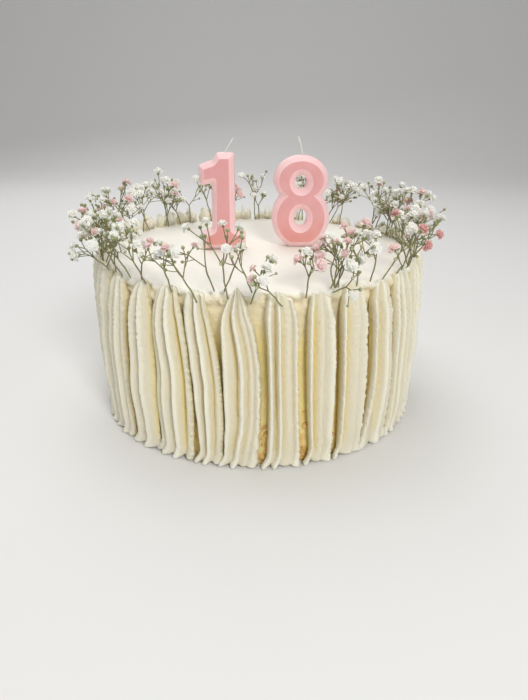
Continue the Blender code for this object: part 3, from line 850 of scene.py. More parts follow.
@dataclass
class Piping:
    """The tall piped strokes round the side."""

    bed_radius: float = 0.1045
    foot_z: float = 0.012
    waist_z: float = 0.055
    shoulder_z: float = 0.098
    levels: tuple = (
        Level(0.0000, 0.0064, 0.45, 1.00), Level(0.0040, 0.0054, 0.70, 1.00),
        Level(0.0130, 0.0074, 1.08, 1.00), Level(0.0450, 0.0094, 1.16, 1.00),
        Level(0.0780, 0.0096, 1.16, 1.00), Level(0.0900, 0.0093, 1.12, 1.00),
        Level(0.0960, 0.0088, 1.05, 0.92), Level(0.1010, 0.0081, 0.96, 0.76),
        Level(0.1050, 0.0072, 0.85, 0.58), Level(0.1090, 0.0058, 0.75, 0.36),
        Level(0.1122, 0.0042, 0.60, 0.16),
    )
    bed_share: float = 0.80
    edge_share: float = 0.46
    front: tuple = (
        Stroke(RidgeSet.WIDE, 0.1095, 0.60),
        Stroke(RidgeSet.TWIN, 0.1112, 0.85, 0.30),
        Stroke(RidgeSet.HOLLOW, 0.1112, 0.55, 0.20),
        Stroke(RidgeSet.BANDED, 0.1098, 0.50, 0.00, (0.14, -0.04, -0.22)),
        Stroke(RidgeSet.FOURFOLD, 0.1120, 1.00, 0.05, (0.14, -0.12, 0.04)),
        Stroke(RidgeSet.FINNED, 0.1100, 0.55, -0.30, (0.03, 0.00, -0.06)),
        Stroke(RidgeSet.PLAIN, 0.1088, 0.60, -0.35),
        Stroke(RidgeSet.SLANTED, 0.1128, 0.50, -0.10),
        Stroke(RidgeSet.WIDE, 0.1092, 0.60, -0.05),
        Stroke(RidgeSet.FINNED, 0.1108, 0.60),
    )
    others: tuple = (RidgeSet.TWIN, RidgeSet.HOLLOW, RidgeSet.BANDED, RidgeSet.FINNED, RidgeSet.PLAIN,
                     RidgeSet.SLANTED, RidgeSet.WIDE)
    tip_front: float = 0.1122
    tip_rise: float = 0.0092
    tip_spread: float = 0.0012
    head_drop: float = 0.0010
    head_back: float = 0.0068
    head_notch: float = 0.0095
    head_arch: float = 0.0026
    head_inner: float = 0.0040
    proud_span: float = 0.006
    stretch_z: float = 0.080
    stretch_span: float = 0.030
    toe_notch: float = 0.0042
    toe_height: float = 0.0055
    toe_out: float = 0.0020
    toe_round: float = 0.0022
    least_gap: float = 0.3
    wander_seed: int = 500
    hand: Hand = Hand()
    front_swell: tuple = (0.95, 1.03)
    other_swell: tuple = (0.88, 0.95)
    back_gap: float = 0.0002
    rows: int = 124
    columns: int = 54
    back_columns: int = 17
    cap_rows: int = 4
    cap_rise: float = 0.0004

    def along(self, foot: float, waist: float, shoulder: float, height: Array) -> Array:
        """Read a value along the side.

        Args:
            foot: The value at the foot.
            waist: The value at the waist.
            shoulder: The value at the shoulder.
            height: Where it is read.

        Returns:
            The value at each height.
        """
        low, mid, top = self.foot_z, self.waist_z, self.shoulder_z
        z = np.clip(height, low, top)
        return (foot * (z - mid) * (z - top) / ((low - mid) * (low - top))
                + waist * (z - low) * (z - top) / ((mid - low) * (mid - top))
                + shoulder * (z - low) * (z - mid) / ((top - low) * (top - mid)))

    def seam_at(self, seam: Seam, height: Array) -> tuple[Array, Array]:
        """Return the azimuth of a seam and its gap at any height."""
        gap = self.along(seam.gap_foot, seam.gap_waist, seam.gap_shoulder, height)
        return self.along(seam.foot, seam.waist, seam.shoulder, height), np.maximum(gap, self.least_gap)

    def edges(self, left: Seam, right: Seam, height: Array) -> tuple[Array, Array]:
        """Return the middle and half the width of a stroke between two seams, in degrees."""
        (low, low_gap), (high, high_gap) = self.seam_at(left, height), self.seam_at(right, height)
        low, high = low + 0.5 * low_gap, high - 0.5 * high_gap
        return 0.5 * (low + high), 0.5 * (high - low)

    def tip_height(self, azimuth: float) -> float:
        """Return how high the tips reach at an azimuth: low in front, standing proud behind."""
        turned = (azimuth + 180.0) % 360.0 - 180.0
        rise = self.tip_rise * float(smooth_step((abs(turned) - 62.0) / 55.0))
        dip = math.exp(-((turned - 130.0) / 34.0) ** 2)
        return self.tip_front + rise * (1.0 - 0.55 * dip)

    def level(self, name: str, height: Array) -> Array:
        """Read a level's value at any height."""
        heights = [level.height for level in self.levels]
        return np.interp(height, heights, [getattr(level, name) for level in self.levels])

    def around(self) -> tuple[Array, Array]:
        """Return the places round a stroke's section, and which of them are on its back."""
        half = 0.34 * math.pi
        front = np.sin(np.linspace(-half, half, self.columns)) / math.sin(half)
        back = np.linspace(0.97, -0.97, self.back_columns)
        places = np.concatenate((front, back))
        return places, np.arange(len(places)) >= self.columns

    def close(self, name: str, sheet: Sheet, back_limit: float, cream: Material) -> Piece:
        """Cap the rows of a stroke over its tips and close its foot.

        Args:
            name: The piece's name.
            sheet: The stroke's sheet.
            back_limit: How far back the strokes may reach.
            cream: Its material.

        Returns:
            The stroke as one closed mesh.
        """
        grid = sheet.grid(back_limit)
        last = grid[-1]
        front_line, back_line = sheet.line(last, ~sheet.behind), sheet.line(last, sheet.behind)
        spine = 0.5 * (front_line + back_line)
        spine[:, 2] = np.maximum(front_line[:, 2], back_line[:, 2]) + self.cap_rise
        caps = []
        for step in range(1, self.cap_rows + 1):
            share = step / self.cap_rows * 0.5 * math.pi * 0.94
            across, up = 1.0 - math.cos(share), math.sin(share)
            caps.append(last + (spine - last) * np.array([across, across, up]))
        grid = np.concatenate((grid, np.stack(caps)))
        # The caps carry half the painted shade of the top row.
        shade = np.concatenate((sheet.groove, np.repeat(sheet.groove[-1:] * 0.5, self.cap_rows, axis=0)))
        rows, around = grid.shape[:2]
        last_row = (rows - 1) * around
        faces = [tuple(range(around))[::-1], tuple(last_row + column for column in range(around))]
        for row in range(rows - 1):
            faces += band(row * around, around, around)
        return make_piece(name, grid.reshape(-1, 3), faces, [cream], groove=shade.ravel())

    def plan(self, index: int, left: Seam, right: Seam, rng: random.Random) -> Stroke:
        """Return a stroke's ridges and head: as seen in front, and drawn at random behind.

        Args:
            index: The stroke's number from 0.
            left: The seam on its left.
            right: The seam on its right.
            rng: The source of its random draws.

        Returns:
            The plan of the stroke.
        """
        if index < len(self.front):
            return self.front[index]
        middle = 0.5 * (left.shoulder + right.shoulder)
        return Stroke(rng.choice(self.others), self.tip_height(middle), rng.uniform(0.15, 0.50),
                      rng.uniform(-0.3, 0.3), tuple(rng.uniform(-0.12, 0.12) for _ in range(3)))

    def build(self, box: Box, cream: Material) -> None:
        """Pipe every stroke.

        Args:
            box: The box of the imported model, which the strokes stay inside.
            cream: Their material.
        """
        seam_plan = SeamPlan()
        seams = seam_plan.all_round()
        seams.append(seams[0].turned(360.0))
        for index in range(seam_plan.strokes):
            left, right = seams[index:index + 2]
            rng = random.Random(seam_plan.seed + index)
            plan = self.plan(index, left, right, rng)
            swell = rng.uniform(*(self.front_swell if index < len(self.front) else self.other_swell))
            sheet = StrokeShape(self, index, left, right, plan, swell).sheet()
            stroke = self.close(f"piped_stroke_{index + 1:02d}", sheet, box.high.y - self.back_gap, cream)
            settle(stroke, [f"stroke_{index + 1:02d}"])


@dataclass
class StrokeShape:
    """The shape of one stroke: its number from 0, its seams, its plan and how full it is."""

    piping: Piping
    index: int
    left: Seam
    right: Seam
    plan: Stroke
    swell: float

    def __post_init__(self) -> None:
        """Set out the places round its section and how far its head stands up off the cake."""
        self.place, self.behind = self.piping.around()
        self.above = max(self.plan.tip - self.piping.tip_front, 0.0)
        self.proud = float(smooth_step(self.above / self.piping.proud_span))

    def wave(self, number: int, size: float, waves: int = 5) -> Wander:
        """Return one of its waves."""
        return Wander(self.piping.wander_seed + 17 * self.index + number, size, waves)

    def relief(self, shift: Any) -> Array:
        """Return how far its ridges stand out all round, when they are shifted aside."""
        steps = np.linspace(-1.0, 1.0, 401)
        relief = self.plan.ridges.relief(steps, self.piping.edge_share)
        return np.interp(self.place + shift * (1.0 - self.place ** 2), steps, relief)

    def valley(self, height: float) -> Array:
        """Return how deep its valleys are at one height, from 0 to 1."""
        sway = float(self.piping.along(*self.plan.sway, np.array(height)))
        return 1.0 - np.clip(self.relief(sway), 0.0, 1.0)

    def heights(self) -> Array:
        """Return the heights of its points, in rows from the notched toe to the pointed tips."""
        piping, plan, hand, proud = self.piping, self.plan, self.piping.hand, self.proud
        top = plan.tip - piping.head_arch * (self.place - plan.apex) ** 2
        valley = self.valley(piping.shoulder_z)
        top = top - piping.head_notch * (0.20 + 1.15 * proud) * valley ** 0.9
        top = top + hand.tip * self.wave(0, hand.tip_wave).at(self.place * 0.01)
        top = np.minimum(top, plan.tip + piping.tip_spread)
        inner = max(plan.tip - piping.head_back, CAKE_TOP - piping.head_drop)
        top = np.where(self.behind, np.minimum(top, inner + proud * (top - inner)), top)
        foot = np.where(self.behind, 0.0, piping.toe_notch * self.valley(0.0))
        return foot + np.linspace(0.0, 1.0, piping.rows)[:, None] * (top - foot)

    def share(self, height: Array, depth: Array) -> Array:
        """Tell how near to its crests each point is.

        Args:
            height: The heights of its points.
            depth: How deep its valleys are there.

        Returns:
            A share from 0 to 1 for each point.
        """
        hand = self.piping.hand
        shift = self.piping.along(*self.plan.sway, height)
        shift = shift + hand.drift * self.wave(2, hand.drift_wave).at(height)
        shift = shift + hand.jitter * self.wave(5, hand.jitter_wave).at(height)
        return 1.0 - (1.0 - self.relief(shift)) * depth

    def sheet(self) -> Sheet:
        """Lay the stroke between its seams, open at foot and tips."""
        piping, plan, hand = self.piping, self.plan, self.piping.hand
        place, behind, height = self.place, self.behind, self.heights()
        in_head = height - self.above * smooth_step((height - piping.stretch_z) / piping.stretch_span)
        middle, half = piping.edges(self.left, self.right, height)
        body = self.wave(1, hand.body_wave).at(height)
        lean_in = 1.0 - plan.point * (1.0 - piping.level("width", in_head))
        width = half * lean_in * (1.0 + hand.body_width * body)
        middle = middle + half * plan.apex * (1.0 - lean_in)
        full = self.swell * piping.level("full", in_head) * (1.0 + hand.body_full * body)
        share = self.share(height, piping.level("depth", in_head))
        edge = np.abs(place)
        frill = self.wave(3, hand.frill_wave, 8).at(height)
        frill = frill * smooth_step((edge - hand.frill_from) / 0.25) * (0.7 + 0.6 * (place > 0.0))
        ripple = self.wave(4, hand.ripple_wave, 6).at(height, place * 0.0018)
        ripple = ripple * (0.5 + smooth_step((height - hand.ripple_z) / 0.03))
        toe = np.exp(-(height / piping.toe_height) ** 2)
        toe_round = piping.toe_round * np.exp(-(height - height[0]) / 0.0007)
        out = full * share + hand.frill_out * frill + hand.ripple * ripple * share
        out = out + (piping.toe_out * toe - toe_round) * share
        turn = middle + width * (place + hand.frill_side * frill) - toe * (1.35 - 1.05 * place)
        bulge = smooth_step((height - CAKE_TOP) / 0.0035) * smooth_step((plan.tip - height) / 0.0045)
        bulge = bulge * ((1.0 + self.proud) * share - self.proud * 0.75) * (1.0 - edge ** 4)
        border = np.maximum(edge - piping.bed_share, 0.0) / (1.0 - piping.bed_share)
        back_out = 0.9 * piping.edge_share * full * border - piping.head_inner * bulge
        bed = piping.bed_radius / np.cos(np.radians(piping.bed_share * half))
        # Painted shade amount: none on a crest, most deep in a valley.
        groove = np.clip(1.15 - 1.15 * share, 0.0, 1.0)
        # Painted shade behind: a fixed 0.6 on the hidden side below the top, and less than their depth
        # gives on the head's inner faces.
        return Sheet(place, behind, turn=np.where(behind, middle + width * place, turn),
                     radius=bed + np.where(behind, back_out, out), height=height,
                     groove=np.where(behind, np.where(height < CAKE_TOP, 0.6, 0.45 * groove), groove))


@dataclass
class CakeBody:
    """The cake under its piping: a smooth top with faint streaks, a soft rim and a rough side."""

    radius: float = 0.1040
    rim_round: float = 0.0022
    rim_steps: int = 6
    sides: int = 300
    top_rings: int = 70
    side_rings: int = 90
    streak_lift: float = 0.00018
    dent_lift: float = 0.00007
    rim_lift: float = 0.0006
    rim_span: float = 0.0035
    web_reach: float = 0.0020
    web_z: float = 0.1060
    web_span: float = 0.0065
    roughness: float = 0.00030
    streaks: Wander = Wander(7, 0.060, 6)
    dents: Wander = Wander(8, 0.018, 6)
    coat_waves: Wander = Wander(9, 0.011, 8)

    def profile(self) -> list[tuple[float, float, float]]:
        """Return each ring's radius, height and "side" value, from the middle of the top to the foot."""
        inner, shoulder = self.radius - self.rim_round, CAKE_TOP - self.rim_round
        rings = [(radius, CAKE_TOP, 0.0) for radius in np.linspace(0.0, inner, self.top_rings)[1:]]
        for step in range(1, self.rim_steps + 1):
            angle = math.radians(90.0 * step / self.rim_steps)
            rings.append((inner + self.rim_round * math.sin(angle),
                          shoulder + self.rim_round * math.cos(angle), step / self.rim_steps))
        return rings + [(self.radius, height, 1.0)
                        for height in np.linspace(shoulder, 0.0, self.side_rings)[1:]]

    def ring(self, radius: float, height: float, share: float) -> list[tuple]:
        """Return the points of one ring with its relief.

        Args:
            radius: Its radius.
            height: Its height.
            share: How far it belongs to the side, from 0 to 1.

        Returns:
            Its points, from the front round towards +X.
        """
        turn = np.linspace(0.0, math.tau, self.sides, endpoint=False)
        along = turn * self.radius
        x, y = radius * np.sin(turn), -radius * np.cos(turn)
        lift = self.streak_lift * self.streaks.at(x, y) + self.dent_lift * self.dents.at(x, y)
        rim = math.exp(-((radius - self.radius) / self.rim_span) ** 2) * (height > 0.1)
        lift = lift * (1.0 - share) + self.rim_lift * rim * self.coat_waves.at(along, 0.3)
        web = self.web_reach * math.exp(-((height - self.web_z) / self.web_span) ** 2) * share
        web = web * (1.2 + 0.8 * self.dents.at(along, height)
                     + 0.9 * self.coat_waves.at(along * 1.8, height * 1.5))
        rough = self.roughness * self.coat_waves.at(along, height) * share * (height < 0.1)
        reach = radius + web - np.abs(rough)
        return list(zip(reach * np.sin(turn), -reach * np.cos(turn),
                        np.maximum(height + lift * (height > 0.05), 0.0)))

    def build(self, coat: Material) -> None:
        """Model the cake as one closed turned shape with relief."""
        points, side, faces = [(0.0, 0.0, CAKE_TOP)], [0.0], []
        for radius, height, share in self.profile():
            points += self.ring(radius, height, share)
            side += [share] * self.sides
        foot = len(points)
        points.append((0.0, 0.0, 0.0))
        side.append(1.0)
        last = foot - self.sides
        for column in range(self.sides):
            after = (column + 1) % self.sides
            faces += [(0, 1 + after, 1 + column), (last + column, last + after, foot)]
        for first in range(1, last, self.sides):
            faces += band(first, self.sides, self.sides)
        piece = make_piece("cake_body", np.array(points), faces, [coat], side=np.array(side))
        tidy_mesh(piece.data)
        settle(piece, ["cake"])


@dataclass
class Crumbs:
    """Sponge crumbs that lie in the coat low between the strokes, scattered by Geometry Nodes."""

    radius: float = 0.1036
    count: int = 150
    size: float = 0.0019
    seed: int = 5
    narrow_gap: float = 1.4
    foot: float = 0.003
    reach: float = 0.032

    def shape(self) -> Piece:
        """Model one ragged crumb."""
        mesh = bpy.data.meshes.new("crumb")
        ball = bmesh.new()
        bmesh.ops.create_icosphere(ball, subdivisions=2, radius=1.0)
        rng = random.Random(self.seed)
        for vert in ball.verts:
            vert.co *= rng.uniform(0.70, 1.15)
        ball.to_mesh(mesh)
        ball.free()
        return link_object("crumb", mesh)

    def tree(self) -> Sprout:
        """Build the tree that puts a crumb on every point, turned and sized at random."""
        sprout = Sprout("crumb_scatter")
        crumb = sprout.knob("Crumb", "Object")
        size = sprout.knob("Size", "Float", self.size)
        seed = sprout.knob("Seed", "Int", self.seed)
        material = sprout.knob("Material", "Material")
        source = sprout.node("GeometryNodeObjectInfo", None, {"Object": crumb}, "Geometry")
        turn = sprout.node("FunctionNodeRandomValue", {"data_type": "FLOAT_VECTOR"}, {
            "Max": (math.tau, math.tau, math.tau), "Seed": seed})
        scale = sprout.node("FunctionNodeRandomValue", {"data_type": "FLOAT"}, {
            2: 0.35, 3: 1.15, "Seed": seed + 1.0}, 1)
        placed = sprout.node("GeometryNodeInstanceOnPoints", None, {
            "Points": sprout.incoming(), "Instance": source, "Rotation": turn, "Scale": size * scale})
        sprout.close(placed, material)
        return sprout

    def places(self) -> list[Vector]:
        """Draw a place for each crumb in the wider gaps, most of them near the foot."""
        rng = random.Random(self.seed)
        seams = SeamPlan().all_round()
        piping = Piping()
        places = []
        while len(places) < self.count:
            seam = rng.choice(seams)
            if max(seam.gap_foot, seam.gap_waist) < self.narrow_gap:
                continue
            height = self.foot + self.reach * rng.random() ** 1.5
            azimuth, gap = (float(value) for value in piping.seam_at(seam, np.array(height)))
            places.append(polar(azimuth + gap * rng.uniform(-0.45, 0.45),
                                self.radius + rng.uniform(0.0, 0.0006), height))
        return places

    def build(self, finish: Material) -> None:
        """Scatter the crumbs in the gaps between the strokes."""
        piece = make_piece("sponge_crumbs", np.array(self.places()), [])
        shape = self.shape()
        self.tree().grow(piece, Crumb=shape, Size=self.size, Seed=self.seed, Material=finish)
        bpy.data.objects.remove(shape, do_unlink=True)
        settle(piece, [])


# Candles


@dataclass(frozen=True)
class Oval:
    """An ellipse: half its width, half its height and the height of its middle."""

    across: float
    up: float
    middle: float

    def grown(self, amount: float) -> "Oval":
        """Return the ellipse grown all round."""
        return Oval(self.across + amount, self.up + amount, self.middle)

    def width_at(self, height: float) -> float:
        """Return half its width at a height."""
        return self.across * math.sqrt(max(1.0 - ((height - self.middle) / self.up) ** 2, 0.0))

    def arc(self, start: float, end: float, steps: int, shift: float) -> list[Vector]:
        """Return points of the ellipse.

        Args:
            start: The first angle in degrees.
            end: The last angle.
            steps: How many steps lie between them.
            shift: How far its middle lies aside.

        Returns:
            The points, one more than the steps.
        """
        points = []
        for step in range(steps + 1):
            angle = math.radians(start + (end - start) * step / steps)
            points.append(Vector((shift + self.across * math.cos(angle),
                                  self.middle + self.up * math.sin(angle))))
        return points


@dataclass
class DigitCandle:
    """A moulded wax digit: flat faces inside a wide flat bevel with softened edges."""

    name: str = "wax_digit"
    node: str = ""
    foot: tuple = (0.0, 0.0)
    depth: float = 0.0130
    bevel: float = 0.0030
    bevel_width: float = 0.0034
    foot_z: float = 0.1103
    soft_angle: float = 50.0
    profile: tuple = ((0.00, -0.30), (0.02, -0.05), (0.07, 0.06), (0.15, 0.15), (0.82, 0.83),
                      (0.90, 0.92), (0.97, 0.98), (1.08, 1.00))

    def outlines(self, inset: float) -> list[list[Vector]]:
        """Return the digit's outline and its holes, moved into the wax by an inset."""
        raise NotImplementedError

    def rings(self) -> list[tuple[float, float, float]]:
        """Return the inset, the depth and the "rim" value of each ring, from front face to back face."""
        rings = []
        for share, rise in self.profile:
            place = 0.5 * self.depth - self.bevel * (1.0 - rise)
            rings.append((share * self.bevel_width, place, 0.0 if share > 1.0 else 1.0))
        return rings[::-1] + [(inset, -place, rim) for inset, place, rim in rings]

    def build(self, wax: Material) -> None:
        """Loft the digit from ring to ring, fill its two faces and stand it on the cake."""
        points, faces, rims = [], [], []
        rings = self.rings()
        loops = self.outlines(0.0)
        size = sum(len(loop) for loop in loops)
        for inset, place, rim in rings:
            for loop in self.outlines(inset):
                points += [(self.foot[0] + spot.x, self.foot[1] - place, self.foot_z + spot.y)
                           for spot in loop]
                rims += [rim] * len(loop)
        base = (len(rings) - 1) * size
        for first in range(0, base, size):
            for loop in loops:
                faces += band(first, len(loop), size)
                first += len(loop)
        flat = [[Vector((spot.x, spot.y, 0.0)) for spot in loop] for loop in self.outlines(rings[0][0])]
        for triangle in tessellate_polygon(flat):
            faces.append(tuple(triangle))
            faces.append(tuple(base + corner for corner in reversed(triangle)))
        piece = make_piece(self.name, np.array(points), faces, [wax], rim=np.array(rims))
        tidy_mesh(piece.data)
        piece.data.set_sharp_from_angle(angle=math.radians(self.soft_angle))
        settle(piece, [self.node])


@dataclass
class CandleOne(DigitCandle):
    """The digit one, with a flag and a footed base. Corners are x, z and the radius they are rounded to."""

    name: str = "wax_one"
    node: str = "candle_one"
    foot: tuple = (-0.0235, -0.0043)
    corners: tuple = (
        (-0.0143, 0.0000, 0.0004), (0.0153, 0.0000, 0.0004), (0.0151, 0.0116, 0.0034),
        (0.0083, 0.0140, 0.0020), (0.0083, 0.0628, 0.0022), (-0.0030, 0.0628, 0.0022),
        (-0.0062, 0.0582, 0.0030), (-0.0152, 0.0550, 0.0020), (-0.0148, 0.0419, 0.0020),
        (-0.0070, 0.0436, 0.0008), (-0.0074, 0.0138, 0.0020), (-0.0143, 0.0114, 0.0034),
    )
    corner_steps: int = 6
    least_radius: float = 0.0003

    def moved(self, inset: float) -> list[tuple[Vector, float]]:
        """Return each corner moved inwards by an inset, with the radius it is rounded to there."""
        moved = []
        for index, (x, z, radius) in enumerate(self.corners):
            here = Vector((x, z))
            arriving = (here - Vector(self.corners[index - 1][:2])).normalized()
            leaving = (Vector(self.corners[(index + 1) % len(self.corners)][:2]) - here).normalized()
            first, second = Vector((-arriving.y, arriving.x)), Vector((-leaving.y, leaving.x))
            spot = here + (first + second) * inset / (1.0 + first.dot(second))
            convex = arriving.x * leaving.y - arriving.y * leaving.x > 0.0
            moved.append((spot, max(radius - inset, self.least_radius) if convex else radius + inset))
        return moved

    def outlines(self, inset: float) -> list[list[Vector]]:
        """Return the outline with each corner turned into a short arc of its own radius."""
        points = []
        moved = self.moved(inset)
        for index, (here, radius) in enumerate(moved):
            before = moved[index - 1][0] - here
            after = moved[(index + 1) % len(moved)][0] - here
            half = 0.5 * before.angle(after)
            reach = min(radius / math.tan(half), 0.45 * before.length, 0.45 * after.length)
            start = here + before.normalized() * reach
            end = here + after.normalized() * reach
            points += bent(start, here, end, self.corner_steps)
        return [points]


@dataclass
class CandleEight(DigitCandle):
    """The digit eight: two ovals that meet at a waist, flat at the foot, with two holes."""

    name: str = "wax_eight"
    node: str = "candle_eight"
    foot: tuple = (0.0285, 0.0029)
    lean: float = 0.0007
    low: Oval = Oval(0.0197, 0.0210, 0.0197)
    high: Oval = Oval(0.0184, 0.0158, 0.0449)
    hole_low: Oval = Oval(0.0043, 0.0059, 0.0196)
    hole_high: Oval = Oval(0.0040, 0.0047, 0.0435)
    hole_bevel: float = 1.12
    steps: int = 72

    def waist(self, low: Oval, high: Oval) -> float:
        """Return the height at which two ovals are equally wide."""
        height = low.middle
        while low.width_at(height) > high.width_at(height):
            height += 0.00005
        return height

    def outlines(self, inset: float) -> list[list[Vector]]:
        """Return the outline and the two holes."""
        low, high = self.low.grown(-inset), self.high.grown(-inset)
        waist = self.waist(low, high)
        low_end = math.degrees(math.asin((waist - low.middle) / low.up))
        high_start = math.degrees(math.asin((waist - high.middle) / high.up))
        foot = math.degrees(math.asin((inset - low.middle) / low.up))
        half = self.steps // 2
        right = low.arc(foot, low_end, half, self.lean)
        top = high.arc(high_start, 180.0 - high_start, self.steps, self.lean)
        left = low.arc(180.0 - low_end, 180.0 - foot, half, self.lean)
        turn = 360.0 * (1.0 - 1.0 / half)
        holes = [hole.grown(inset * self.hole_bevel).arc(0.0, turn, half - 1, self.lean)
                 for hole in (self.hole_low, self.hole_high)]
        return [right[:-1] + top + left[1:]] + holes


@dataclass
class Wick:
    """A short twisted cotton wick. Its route is x and height, from where its candle stands."""

    name: str
    node: str
    foot: tuple
    route: tuple
    foot_z: float = 0.1109
    radius: float = 0.00068
    plies: int = 3
    ply_depth: float = 0.14
    twist: float = 34.0
    steps: int = 11

    def tree(self) -> Sprout:
        """Build the tree that sweeps a three-ply section along a curve, twisting it on the way."""
        sprout = Sprout("wick_twist")
        radius = sprout.knob("Radius", "Float", self.radius)
        plies = sprout.knob("Plies", "Float", float(self.plies))
        twist = sprout.knob("Twist", "Float", self.twist)
        material = sprout.knob("Material", "Material")
        line = sprout.node("GeometryNodeMeshToCurve", None, {"Mesh": sprout.incoming()})
        fine = sprout.node("GeometryNodeResampleCurve", None, {"Curve": line, "Count": 60})
        share = sprout.node("GeometryNodeSplineParameter", output="Factor")
        turned = sprout.node("GeometryNodeSetCurveTilt", None, {"Curve": fine, "Tilt": share * twist})
        ring = sprout.circle(24)
        place = sprout.node("GeometryNodeInputPosition")
        around = sprout.node("GeometryNodeSplineParameter", output="Factor")
        lobe = sprout.node("ShaderNodeMath", {"operation": "COSINE"}, {0: around * plies * math.tau})
        swell = radius * ((1.0 - self.ply_depth) + self.ply_depth * lobe)
        moved = sprout.node("ShaderNodeVectorMath", {"operation": "SCALE"}, {0: place, "Scale": swell})
        section = sprout.node("GeometryNodeSetPosition", None, {"Geometry": ring, "Position": moved})
        swept = sprout.node("GeometryNodeCurveToMesh", None, {
            "Curve": turned, "Profile Curve": section, "Fill Caps": True})
        sprout.close(swept, material)
        return sprout

    def build(self, cotton: Material) -> None:
        """Sweep the wick along its route."""
        start, bend, end = (Vector((self.foot[0] + x, self.foot[1], self.foot_z + z))
                            for x, z in self.route)
        mesh = bpy.data.meshes.new(self.name)
        mesh.from_pydata(bent(start, bend, end, self.steps), [(i, i + 1) for i in range(self.steps)], [])
        piece = link_object(self.name, mesh)
        self.tree().grow(piece, Radius=self.radius, Plies=float(self.plies), Twist=self.twist,
                         Material=cotton)
        tidy_mesh(piece.data)
        piece.data.shade_smooth()
        settle(piece, [self.node])


# Flowers


@dataclass(frozen=True)
class Sprig:
    """Where a sprig stands, how it leans out and sways sideways, how long it is and its branches."""

    azimuth: float
    radius: float
    lean: float
    sway: float
    length: float
    branches: int = 3
    height: float = CAKE_TOP


@dataclass(frozen=True)
class Tuft:
    """A stretch of the rim where sprigs are filled in: its share of them, added up, and their ranges."""

    share: float
    place: tuple
    lean: tuple
    sway: tuple


class Tube(Enum):
    """The radius of each kind of stem at its start and at its end."""

    STEM = (0.00045, 0.00040)
    LIMB = (0.00037, 0.00031)
    TO_BUD = (0.00032, 0.00026)
    TO_BLOSSOM = (0.00032, 0.00028)
    FINE = (0.00025, 0.00021)


@dataclass(frozen=True)
class Twig:
    """A straight stretch of stem between two points, with its radius."""

    start: Vector
    end: Vector
    radius: float

    def nearest(self, other: "Twig") -> float:
        """Find how near this stretch comes to another.

        Args:
            other: The other stretch.

        Returns:
            The least distance from five points along this stretch to the other.
        """
        along = other.end - other.start
        least = 1.0
        for step in range(5):
            point = self.start.lerp(self.end, step / 4.0)
            share = (point - other.start).dot(along) / max(along.length_squared, 1e-12)
            spot = other.start.lerp(other.end, min(max(share, 0.0), 1.0))
            least = min(least, (point - spot).length)
        return least


@dataclass(frozen=True)
class Flower:
    """A blossom or a bud: its centre, the way it faces and its radius."""

    centre: Vector
    facing: Vector
    radius: float

    def ball(self) -> Twig:
        """Return the flower as a very short and thick twig."""
        return Twig(self.centre, self.centre + self.facing * 0.0001, self.radius)


@dataclass(frozen=True)
class Branch:
    """A branch of a sprig: its limb up to where it forks, and the flowers on its twigs."""

    limb: Twig
    flowers: list

    def twig(self, flower: Flower, radius: float) -> Twig:
        """Return the twig to one of its flowers."""
        return Twig(self.limb.end, flower.centre, radius)


@dataclass
class Bouquet:
    """What the flower pieces are made from so far: every tube, bud, cup and blossom."""

    tubes: list = field(default_factory=list)
    buds: list = field(default_factory=list)
    cups: list = field(default_factory=list)
    blossoms: dict = field(default_factory=lambda: {bloom: [] for bloom in Bloom})

    def add_tube(self, start: Vector, end: Vector, tube: Tube) -> None:
        """Add one stretch of stem."""
        self.tubes.append((start, end, *tube.value))


